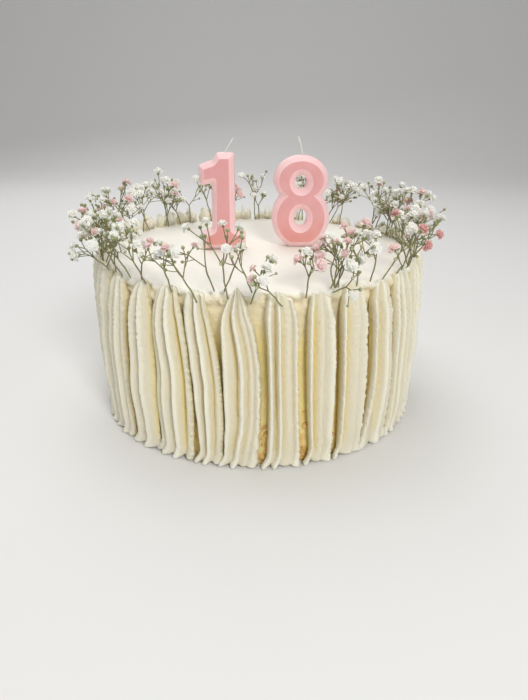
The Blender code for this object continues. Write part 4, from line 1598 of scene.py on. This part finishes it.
@dataclass
class FlowerModels:
    """The models that blossoms, cups and buds are copied from, each of radius 1 and facing +Z."""

    seed: int = 700
    kinds: int = 4
    petals: int = 17
    heart_drop: float = -0.26
    heart_radius: float = 0.60
    petal_outline: tuple = ((0.0, 0.0), (0.38, -0.50), (0.80, -0.56), (1.0, -0.28), (0.93, 0.0),
                            (1.0, 0.30), (0.80, 0.56), (0.38, 0.48))
    petal_wall: float = 0.03
    bud_sides: int = 7
    bud_profile: tuple = ((-1.0, 0.30), (-0.75, 0.70), (-0.2, 0.98), (0.35, 0.86), (0.8, 0.50),
                          (1.05, 0.12))
    cup_profile: tuple = ((-1.05, 0.16), (-0.80, 0.34), (-0.45, 0.50), (-0.10, 0.56), (0.05, 0.30))
    crease_angle: float = 55.0

    def finish_model(self, name: str, shape: bmesh.types.BMesh) -> Piece:
        """Turn a shape into an object that only serves as the model for copies."""
        mesh = bpy.data.meshes.new(name)
        shape.to_mesh(mesh)
        shape.free()
        mesh.shade_smooth()
        return link_object(name, mesh)

    def petal(self, shape: bmesh.types.BMesh, tip: bmesh.types.BMLayerItem, spin: float, tilt: float,
              reach: float, width: float, rng: random.Random) -> None:
        """Add one thin crinkled petal to a blossom.

        Args:
            shape: The blossom so far.
            tip: The layer for the "tip" attribute.
            spin: Azimuth of the petal.
            tilt: How far it leans out from the blossom's axis, in degrees.
            reach: Its length.
            width: Its width.
            rng: The source of its crinkles.
        """
        turned = Matrix.Rotation(math.radians(spin), 4, "Z") @ Matrix.Rotation(math.radians(tilt), 4, "Y")
        base = Vector((0.0, 0.0, self.heart_drop))
        ring = []
        for along, across in self.petal_outline:
            cup = 0.50 * abs(across) * along - 0.16 * along * along + rng.uniform(-0.05, 0.05) * along
            vert = shape.verts.new(base + turned @ Vector((-cup, across * width, along * reach)))
            vert[tip] = along
            ring.append(vert)
        faces = []
        for side in (self.petal_wall, -self.petal_wall):
            middle = shape.verts.new(base + turned @ Vector((side + 0.02, 0.0, 0.60 * reach)))
            middle[tip] = 0.55
            for index, vert in enumerate(ring):
                after = ring[(index + 1) % len(ring)]
                faces.append(shape.faces.new((vert, after, middle) if side > 0 else (after, vert, middle)))
        bmesh.ops.recalc_face_normals(shape, faces=faces)

    def blossom(self, number: int) -> Piece:
        """Model one double blossom, with petals on a spiral that stand upright inside.

        Args:
            number: Which of the kinds it is.

        Returns:
            The model.
        """
        rng = random.Random(self.seed + number)
        shape = bmesh.new()
        tip = shape.verts.layers.float.new("tip")
        heart = bmesh.ops.create_icosphere(shape, subdivisions=2, radius=self.heart_radius)
        for vert in heart["verts"]:
            vert.co *= rng.uniform(0.92, 1.08)
            vert.co.z = 0.75 * vert.co.z + 0.12
            vert[tip] = 0.6
        start = rng.uniform(0.0, 360.0)
        for index in range(self.petals):
            share = index / (self.petals - 1)
            self.petal(shape, tip, start + GOLDEN_ANGLE * index + rng.uniform(-12.0, 12.0),
                       98.0 * (1.0 - share) ** 0.75 + 6.0 + rng.uniform(-9.0, 9.0),
                       (1.12 - 0.08 * share) * rng.uniform(0.88, 1.06),
                       (0.92 - 0.22 * share) * rng.uniform(0.85, 1.10), rng)
        return self.finish_model(f"blossom_{number}", shape)

    def bud(self, number: int, profile: Sequence[tuple[float, float]]) -> Piece:
        """Model a bud, or the cup under a blossom.

        Args:
            number: The model's number.
            profile: Its heights and radii.

        Returns:
            The model.
        """
        rng = random.Random(self.seed + 40 + number)
        shape = bmesh.new()
        tip = shape.verts.layers.float.new("tip")
        loops = []
        for height, radius in profile:
            ring = []
            for side in range(self.bud_sides):
                turn = math.tau * side / self.bud_sides
                swell = radius * (1.0 + rng.uniform(-0.10, 0.10))
                vert = shape.verts.new((swell * math.cos(turn), swell * math.sin(turn), height))
                vert[tip] = min(max((height + 0.6) / 1.6, 0.0), 1.0)
                ring.append(vert)
            loops.append(ring)
        for lower, upper in zip(loops, loops[1:]):
            for side in range(self.bud_sides):
                after = (side + 1) % self.bud_sides
                shape.faces.new((lower[side], lower[after], upper[after], upper[side]))
        shape.faces.new(list(reversed(loops[0])))
        shape.faces.new(loops[-1])
        return self.finish_model(f"bud_{number}", shape)

    def tree(self, name: str, models: int) -> Sprout:
        """Build the tree that puts one of several models on every point, facing the way it is told.

        Args:
            name: The tree's name.
            models: How many models are used in turn.

        Returns:
            The tree.
        """
        sprout = Sprout(name)
        seed = sprout.knob("Seed", "Int", self.seed)
        material = sprout.knob("Material", "Material")
        knobs = [sprout.knob(f"Model {index}", "Object") for index in range(models)]
        kinds = sprout.node("GeometryNodeGeometryToInstance")
        joint = kinds.socket.node.inputs[0]
        for knob in knobs:
            info = sprout.node("GeometryNodeObjectInfo", None, {"Object": knob}, "Geometry")
            sprout.feed(joint, info)
        facing = sprout.node("FunctionNodeAlignRotationToVector", {"axis": "Z"}, {
            "Vector": sprout.named("facing", "FLOAT_VECTOR")})
        spin = sprout.node("FunctionNodeRandomValue", {"data_type": "FLOAT"}, {
            2: 0.0, 3: math.tau, "Seed": seed}, 1)
        whirl = sprout.node("FunctionNodeAxisAngleToRotation", None, {
            "Axis": (0.0, 0.0, 1.0), "Angle": spin})
        turned = sprout.node("FunctionNodeRotateRotation", {"rotation_space": "LOCAL"}, {
            "Rotation": facing, "Rotate By": whirl})
        placed = sprout.node("GeometryNodeInstanceOnPoints", None, {
            "Points": sprout.incoming(), "Instance": kinds, "Pick Instance": True,
            "Instance Index": sprout.node("GeometryNodeInputIndex"), "Rotation": turned,
            "Scale": sprout.named("size")})
        sprout.close(placed, material)
        return sprout

    def scatter(self, name: str, flowers: Sequence[Flower], models: Sequence[Piece],
                finish: Material) -> None:
        """Put a copy of a model on every flower's place, all as one piece.

        Args:
            name: The piece's name.
            flowers: The places.
            models: The models, used in turn.
            finish: The piece's material.
        """
        piece = make_piece(name, np.array([tuple(flower.centre) for flower in flowers]), [],
                           facing=np.array([tuple(flower.facing) for flower in flowers]),
                           size=np.array([flower.radius for flower in flowers]))
        values = {f"Model_{number}": model for number, model in enumerate(models)}
        self.tree(f"{name}_scatter", len(models)).grow(piece, Seed=self.seed, Material=finish, **values)
        piece.data.shade_smooth()
        piece.data.set_sharp_from_angle(angle=math.radians(self.crease_angle))
        settle(piece, [])

    def build(self, bouquet: Bouquet) -> None:
        """Make every bud, cup and blossom of a bouquet."""
        green = BudFinish().material()
        models = [self.bud(0, self.bud_profile), self.bud(1, self.cup_profile)]
        self.scatter("sprig_buds", bouquet.buds, models[:1], green)
        self.scatter("blossom_cups", bouquet.cups, models[1:], green)
        shapes = [self.blossom(number) for number in range(self.kinds)]
        for bloom, places in bouquet.blossoms.items():
            self.scatter(f"blossoms_{bloom.name.lower()}", places, shapes, PetalFinish(bloom).material())
            LOG.info("%s blossoms: %d", bloom.name.lower(), len(places))
        for model in models + shapes:
            bpy.data.objects.remove(model, do_unlink=True)


@dataclass
class FlowerRing:
    """The ring of baby's breath round the rim: stems, cups, buds and blossoms."""

    box: Box
    bouquet: Bouquet = field(default_factory=Bouquet)
    seed: int = 700
    stem_radius: float = 0.00060
    twig_radius: float = 0.00042
    blossom_radius: float = 0.0030
    bud_radius: float = 0.0015
    bud_share: float = 0.30
    clear: float = 0.0005
    tries: int = 14
    puff: float = 1.02
    cup_back: float = 0.52
    cup_size: float = 0.62
    bud_scale: float = 0.74
    white_share: float = 0.73
    rose_from: float = 0.965
    same_colour: float = 0.55
    stem_sides: int = 6
    stem_bow: float = 0.05
    fillers: int = 58
    filler_room: float = 0.0042
    filler_foot: float = 0.1105
    filler_length: tuple = (0.024, 0.040)
    front_radius: float = 0.1085
    back_inset: float = 0.0085
    side_radius: float = 0.1145
    side_foot: float = 0.094
    top_radius: float = 0.1000
    cream_gap: float = 0.0008
    tip_gap: float = 0.0012
    ring_reach: float = 0.1225
    fork_angle: tuple = (20.0, 40.0)
    twig_angle: tuple = (18.0, 42.0)
    tufts: tuple = (
        Tuft(0.19, (-88.0, -34.0), (-12.0, 40.0), (-50.0, 44.0)),
        Tuft(0.29, (-126.0, -90.0), (-4.0, 18.0), (-28.0, 28.0)),
        Tuft(0.46, (34.0, 88.0), (-12.0, 40.0), (-50.0, 52.0)),
        Tuft(0.56, (90.0, 126.0), (-4.0, 18.0), (-28.0, 28.0)),
        Tuft(0.86, (126.0, 234.0), (2.0, 20.0), (-24.0, 24.0)),
        Tuft(1.00, (-38.0, 32.0), (4.0, 24.0), (-30.0, 26.0)),
    )
    sprigs: tuple = (
        Sprig(-84.0, 0.1050, 10.0, -4.0, 0.038),
        Sprig(-70.0, 0.1060, 8.0, 4.0, 0.036),
        Sprig(-56.0, 0.1085, 40.0, -8.0, 0.027),
        Sprig(-47.0, 0.1085, 18.0, -30.0, 0.040),
        Sprig(-35.0, 0.1095, 10.0, -24.0, 0.034),
        Sprig(-25.5, 0.1100, 10.0, -8.0, 0.033, 3, 0.108),
        Sprig(-17.4, 0.1110, 12.0, -18.0, 0.038, 3, 0.104),
        Sprig(-8.5, 0.1105, 6.0, -8.0, 0.046, 3, 0.107),
        Sprig(-2.0, 0.1115, 14.0, 16.0, 0.030, 2, 0.105),
        Sprig(6.6, 0.1125, 16.0, -36.0, 0.030, 2, 0.104),
        Sprig(13.5, 0.1105, 8.0, 4.0, 0.028, 3, 0.107),
        Sprig(21.5, 0.1110, 58.0, 16.0, 0.024, 2, 0.109),
        Sprig(30.0, 0.1095, 10.0, -6.0, 0.032),
        Sprig(41.0, 0.1090, 18.0, 26.0, 0.044),
        Sprig(54.0, 0.1070, 16.0, 6.0, 0.040),
        Sprig(67.0, 0.1060, 8.0, 0.0, 0.038),
        Sprig(81.0, 0.1050, 6.0, -4.0, 0.036),
        Sprig(97.0, 0.1025, 16.0, 6.0, 0.042),
        Sprig(117.0, 0.1000, 16.0, -4.0, 0.040),
        Sprig(138.0, 0.0995, 12.0, 6.0, 0.038),
        Sprig(160.0, 0.0990, 12.0, -8.0, 0.040),
        Sprig(181.0, 0.0990, 12.0, 6.0, 0.042),
        Sprig(-157.0, 0.0990, 12.0, 4.0, 0.042),
        Sprig(-134.0, 0.0995, 16.0, -6.0, 0.044),
        Sprig(-108.0, 0.1020, 16.0, 8.0, 0.042),
    )

    def turned(self, direction: Vector, angle: float, spin: float) -> Vector:
        """Tilt a direction.

        Args:
            direction: The direction.
            angle: How far it is tilted, in degrees.
            spin: Which side it is tilted to, in degrees.

        Returns:
            The tilted direction.
        """
        side = direction.orthogonal().normalized()
        side.rotate(Matrix.Rotation(math.radians(spin), 3, direction))
        return (Matrix.Rotation(math.radians(angle), 3, side) @ direction).normalized()

    def outside_cream(self, flower: Flower) -> bool:
        """Tell whether a flower stays off the top, the tips and the piped side.

        Args:
            flower: The flower.

        Returns:
            Whether it is clear of the cream.
        """
        radius = math.hypot(flower.centre.x, flower.centre.y)
        azimuth = math.degrees(math.atan2(flower.centre.x, -flower.centre.y))
        reach = flower.radius + self.cream_gap
        if radius > self.side_radius + reach:
            return flower.centre.z > self.side_foot
        if radius < self.top_radius - reach:
            return flower.centre.z > CAKE_TOP + reach
        return flower.centre.z > Piping().tip_height(azimuth) + self.tip_gap + reach

    def is_clear(self, twig: Twig, flower: Flower, taken: Sequence[Twig]) -> bool:
        """Tell whether a new twig and its flower keep away from every other sprig.

        Args:
            twig: The new twig.
            flower: Its flower.
            taken: What the other sprigs take up.

        Returns:
            Whether there is room for both.
        """
        for other in taken:
            for piece in (twig, flower.ball()):
                needed = piece.radius + other.radius + self.clear
                if (piece.start - other.start).length > needed + 0.04:
                    continue
                if min(piece.nearest(other), other.nearest(piece)) < needed:
                    return False
        return True

    def grow(self, sprig: Sprig, rng: random.Random, taken: Sequence[Twig]) -> tuple[list, list]:
        """Grow one sprig.

        Args:
            sprig: Where and how it stands.
            rng: The source of its random draws.
            taken: What the sprigs before it take up.

        Returns:
            The stretches of its stem, and its branches.
        """
        root = polar(sprig.azimuth, sprig.radius, sprig.height)
        outward = polar(sprig.azimuth, 1.0, 0.0)
        sideways = polar(sprig.azimuth + 90.0, 1.0, 0.0)
        lean, sway = math.radians(sprig.lean), math.radians(sprig.sway)
        heading = (outward * math.sin(lean) + sideways * math.sin(sway)
                   + Vector((0.0, 0.0, math.cos(lean) * math.cos(sway)))).normalized()
        bend = root + heading * 0.22 * sprig.length
        fork = bend + self.turned(heading, 8.0, rng.uniform(0.0, 360.0)) * 0.20 * sprig.length
        stem = [Twig(root, bend, self.stem_radius), Twig(bend, fork, self.stem_radius)]
        branches, own = [], []
        spin = rng.uniform(0.0, 360.0)
        for _ in range(sprig.branches):
            spin += 360.0 / sprig.branches + rng.uniform(-25.0, 25.0)
            way = self.turned(heading, rng.uniform(*self.fork_angle), spin)
            end = fork + way * sprig.length * rng.uniform(0.20, 0.32)
            branch = Branch(Twig(fork, end, self.twig_radius), [])
            for twist in (rng.uniform(0.0, 180.0), rng.uniform(180.0, 360.0)):
                for _ in range(self.tries):
                    aim = self.turned(way, rng.uniform(*self.twig_angle), twist + rng.uniform(-60.0, 60.0))
                    tip = end + aim * sprig.length * rng.uniform(0.16, 0.32)
                    size = self.blossom_radius if rng.random() > self.bud_share else self.bud_radius
                    flower = Flower(tip + aim * 0.5 * size, aim, size * rng.uniform(0.9, 1.12))
                    ball, twig = flower.ball(), branch.twig(flower, self.twig_radius)
                    apart = all(part.nearest(ball) > flower.radius + part.radius for part in own)
                    if apart and self.outside_cream(flower) and self.is_clear(twig, flower, taken):
                        branch.flowers.append(flower)
                        own += [twig, ball]
                        break
            if branch.flowers:
                branches.append(branch)
        return stem, branches

    def stem_tree(self) -> Sprout:
        """Build the tree that sweeps a tube as thick as each point says along every stem."""
        sprout = Sprout("stem_sweep")
        sides = sprout.knob("Sides", "Int", self.stem_sides)
        material = sprout.knob("Material", "Material")
        curve = sprout.node("GeometryNodeMeshToCurve", None, {"Mesh": sprout.incoming()})
        sized = sprout.node("GeometryNodeSetCurveRadius", None, {
            "Curve": curve, "Radius": sprout.named("thickness")})
        swept = sprout.node("GeometryNodeCurveToMesh", None, {
            "Curve": sized, "Profile Curve": sprout.circle(sides), "Fill Caps": True})
        sweep_inputs = swept.socket.node.inputs
        if "Scale" in sweep_inputs:
            sprout.feed(sweep_inputs["Scale"], sprout.named("thickness"))
        sprout.close(swept, material)
        return sprout

    def build_stems(self, finish: Material) -> None:
        """Sweep every stem and twig as a thin tapered tube, all as one piece."""
        rng = random.Random(self.seed + 90)
        steps = 5
        points, edges, radii = [], [], []
        for start, end, thick, thin in self.bouquet.tubes:
            bow = Vector([rng.uniform(-1.0, 1.0) for _ in range(3)])
            bow = bow * (end - start).length * self.stem_bow
            first = len(points)
            for step in range(steps + 1):
                t = step / steps
                points.append(start.lerp(end, t) + bow * 4.0 * t * (1.0 - t))
                radii.append(thick + (thin - thick) * t)
            edges += [(first + step, first + step + 1) for step in range(steps)]
        mesh = bpy.data.meshes.new("sprig_stems")
        mesh.from_pydata(points, edges, [])
        layer = mesh.attributes.new("thickness", "FLOAT", "POINT")
        layer.data.foreach_set("value", np.array(radii, np.float32))
        piece = link_object("sprig_stems", mesh)
        self.stem_tree().grow(piece, Sides=self.stem_sides, Material=finish)
        piece.data.shade_smooth()
        settle(piece, [f"sprig_{index + 1:02d}" for index in range(len(self.sprigs))])

    def bloom_of(self, rng: random.Random) -> Bloom:
        """Choose a blossom's colour: mostly white, with pink ones and a few of deep rose."""
        draw = rng.random()
        if draw < self.white_share:
            return Bloom.WHITE
        return Bloom.PINK if draw < self.rose_from else Bloom.ROSE

    def filler(self, number: int, rng: random.Random) -> Sprig:
        """Draw one more sprig, most of them in the dense tufts at the left, the right and behind.

        Args:
            number: Its number.
            rng: The source of its random draws.

        Returns:
            Where and how it stands.
        """
        draw = rng.random()
        tuft = next(tuft for tuft in self.tufts if draw < tuft.share)
        azimuth, lean, sway = (rng.uniform(*span) for span in (tuft.place, tuft.lean, tuft.sway))
        turned = (azimuth + 180.0) % 360.0 - 180.0
        radius = self.front_radius - self.back_inset * float(smooth_step((abs(turned) - 45.0) / 70.0))
        length = rng.uniform(*self.filler_length)
        return Sprig(azimuth, radius, lean, sway, length, 3 if number % 4 else 2, self.filler_foot)

    def collect(self, stem: Sequence[Twig], branches: Sequence[Branch], rng: random.Random) -> None:
        """Add a sprig's tubes, buds, cups and blossoms to the bouquet.

        Args:
            stem: The stretches of its stem.
            branches: Its branches.
            rng: The source of colours and of the finest twigs.
        """
        box, bouquet = self.box, self.bouquet
        for part in stem:
            bouquet.add_tube(part.start, part.end, Tube.STEM)
        colour = self.bloom_of(rng)
        for branch in branches:
            fork = branch.limb.end
            bouquet.add_tube(branch.limb.start, fork, Tube.LIMB)
            for flower in branch.flowers:
                if flower.radius < 0.6 * self.blossom_radius:
                    size = flower.radius * self.bud_scale
                    centre = box.inside(flower.centre - flower.facing * flower.radius * 0.2, size * 1.1)
                    bouquet.buds.append(Flower(centre, flower.facing, size))
                    bouquet.add_tube(fork, centre, Tube.TO_BUD)
                    continue
                size = flower.radius * self.puff * rng.uniform(0.72, 1.12)
                centre = box.inside(flower.centre, size * 1.12)
                bloom = colour if rng.random() < self.same_colour else self.bloom_of(rng)
                bouquet.blossoms[bloom].append(Flower(centre, flower.facing, size))
                cup = centre - flower.facing * size * self.cup_back
                bouquet.cups.append(Flower(cup, flower.facing, size * self.cup_size))
                bouquet.add_tube(fork, cup, Tube.TO_BLOSSOM)
                self.add_twiglet(branch, flower, rng)

    def add_twiglet(self, branch: Branch, flower: Flower, rng: random.Random) -> None:
        """Add a finer twig with a bud beside a blossom, where there is room.

        Args:
            branch: The branch that it leaves.
            flower: The blossom that it stands beside.
            rng: The source of its random draws.
        """
        start = branch.limb.start.lerp(branch.limb.end, rng.uniform(0.45, 0.9))
        way = self.turned(flower.facing, rng.uniform(18.0, 44.0), rng.uniform(0.0, 360.0))
        end = start + way * rng.uniform(0.006, 0.012)
        bud = Flower(end, way, rng.uniform(0.0008, 0.0012))
        if self.outside_cream(bud) and self.box.holds(end, self.bud_radius):
            self.bouquet.add_tube(start, end, Tube.FINE)
            self.bouquet.buds.append(bud)

    def has_room(self, branch: Branch) -> bool:
        """Tell whether a filler's branch stays inside the box and near enough to the rim."""
        return all(self.box.holds(flower.centre, self.filler_room)
                   and math.hypot(flower.centre.x, flower.centre.y) < self.ring_reach
                   for flower in branch.flowers)

    def build(self) -> None:
        """Grow the whole ring: the sprigs of the solids first, then those that fill up."""
        taken: list[Twig] = []
        looks = random.Random(self.seed + 60)
        for index, sprig in enumerate(self.sprigs):
            stem, branches = self.grow(sprig, random.Random(self.seed + index), taken)
            taken += stem
            for branch in branches:
                taken.append(branch.limb)
                for flower in branch.flowers:
                    taken += [branch.twig(flower, self.twig_radius), flower.ball()]
            self.collect(stem, branches, looks)
        for number in range(self.fillers):
            rng = random.Random(self.seed + 1000 + number)
            stem, branches = self.grow(self.filler(number, rng), rng, ())
            fits = [branch for branch in branches if self.has_room(branch)]
            self.collect(stem, fits, looks)
        self.build_stems(StemFinish().material())
        FlowerModels(self.seed).build(self.bouquet)


# Stage


@dataclass(frozen=True)
class Lamp:
    """A square soft light: its name, where it hangs, its size, its power and its colour."""

    name: str
    place: tuple
    size: float
    power: float
    colour: tuple

    def hang(self, target: Vector) -> None:
        """Hang the light and turn it to a target."""
        data = bpy.data.lights.new(self.name, "AREA")
        data.shape = "SQUARE"
        data.size = self.size
        data.energy = self.power
        data.color = self.colour
        lamp = link_object(self.name, data)
        lamp.location = self.place
        lamp.rotation_euler = (target - Vector(self.place)).to_track_quat("-Z", "Y").to_euler()


@dataclass
class Studio:
    """A plain pale floor, soft lights and the camera."""

    camera_place: tuple = (0.0, -0.4225, 0.2094)
    camera_pitch: float = 0.3984
    camera_yaw: float = 0.0102
    camera_roll: float = 0.0008
    lens: float = 31.51
    sensor: float = 36.0
    target: tuple = (0.0, 0.0, 0.08)
    lamps: tuple = (
        Lamp("key", (0.38, -1.12, 0.87), 0.36, 9.6, (1.0, 0.995, 0.975)),
        Lamp("fill", (-0.90, -0.90, 0.40), 0.8, 0.5, (1.0, 0.99, 0.98)),
        Lamp("top", (-0.15, 0.20, 1.35), 1.1, 8.2, (1.0, 0.997, 0.99)),
        Lamp("back", (-0.30, 1.10, 0.85), 0.9, 3.4, (1.0, 0.995, 0.985)),
    )
    world_colour: tuple = (0.94, 0.94, 0.95, 1.0)
    world_strength: float = 0.32
    floor_colour: tuple = (0.80, 0.795, 0.785, 1.0)
    floor_half_width: float = 4.0
    floor_front: float = -3.0
    floor_bend: float = 1.2
    floor_curve: float = 0.8
    floor_top: float = 3.0
    floor_drop: float = 0.00002

    def floor(self) -> None:
        """Lay the floor, with a back that curves up far behind."""
        finish = Paint("studio_floor").dress(Base_Color=self.floor_colour, Roughness=0.75)
        line = [(self.floor_front, 0.0), (self.floor_bend, 0.0)]
        for step in range(1, 9):
            angle = math.radians(90.0 * step / 8)
            line.append((self.floor_bend + self.floor_curve * math.sin(angle),
                         self.floor_curve - self.floor_curve * math.cos(angle)))
        line.append((self.floor_bend + self.floor_curve, self.floor_top))
        points = [(x, y, z - self.floor_drop) for y, z in line
                  for x in (-self.floor_half_width, self.floor_half_width)]
        faces = [(low, low + 1, low + 3, low + 2) for low in range(0, len(points) - 2, 2)]
        floor = make_piece("studio_floor", np.array(points), faces, [finish])
        floor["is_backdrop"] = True

    def camera(self) -> None:
        """Set the camera at the photograph's viewing angle."""
        data = bpy.data.cameras.new("camera")
        data.lens = self.lens
        data.sensor_width = self.sensor
        data.sensor_fit = "AUTO"
        data.clip_start = 0.01
        camera = link_object("camera", data)
        pitch, yaw = self.camera_pitch, self.camera_yaw
        forward = Vector((math.sin(yaw) * math.cos(pitch), math.cos(yaw) * math.cos(pitch),
                          -math.sin(pitch)))
        turn = forward.to_track_quat("-Z", "Y").to_matrix().to_4x4()
        camera.matrix_world = (Matrix.Translation(self.camera_place) @ turn
                               @ Matrix.Rotation(self.camera_roll, 4, "Z"))
        bpy.context.scene.camera = camera

    def build(self) -> None:
        """Set up floor, lights, world and camera."""
        self.floor()
        for lamp in self.lamps:
            lamp.hang(Vector(self.target))
        world = bpy.data.worlds.new("studio")
        world.use_nodes = True
        shade = world.node_tree.nodes["Background"]
        shade.inputs["Color"].default_value = self.world_colour
        shade.inputs["Strength"].default_value = self.world_strength
        bpy.context.scene.world = world
        bpy.context.scene.view_settings.view_transform = "Standard"
        self.camera()


def main() -> None:
    """Build every piece in order and report it."""
    logging.basicConfig(level=logging.INFO, format="%(message)s")
    cad_box = [list(corner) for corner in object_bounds()]
    box = Box(Vector(cad_box[0]), Vector(cad_box[1]))
    Studio().build()
    CakeBody().build(CoatFinish().material())
    Piping().build(box, CreamFinish().material())
    Crumbs().build(CrumbFinish().material())
    wax = WaxFinish().material()
    cotton = CottonFinish().material()
    one, eight = CandleOne(), CandleEight()
    one.build(wax)
    eight.build(wax)
    Wick("cotton_wick_one", "wick_one", one.foot,
         ((0.0024, 0.0628), (0.0040, 0.0660), (0.0078, 0.0711))).build(cotton)
    Wick("cotton_wick_eight", "wick_eight", eight.foot,
         ((0.0011, 0.0600), (0.0006, 0.0660), (-0.0018, 0.0717))).build(cotton)
    FlowerRing(box).build()


if __name__ == "__main__":
    main()
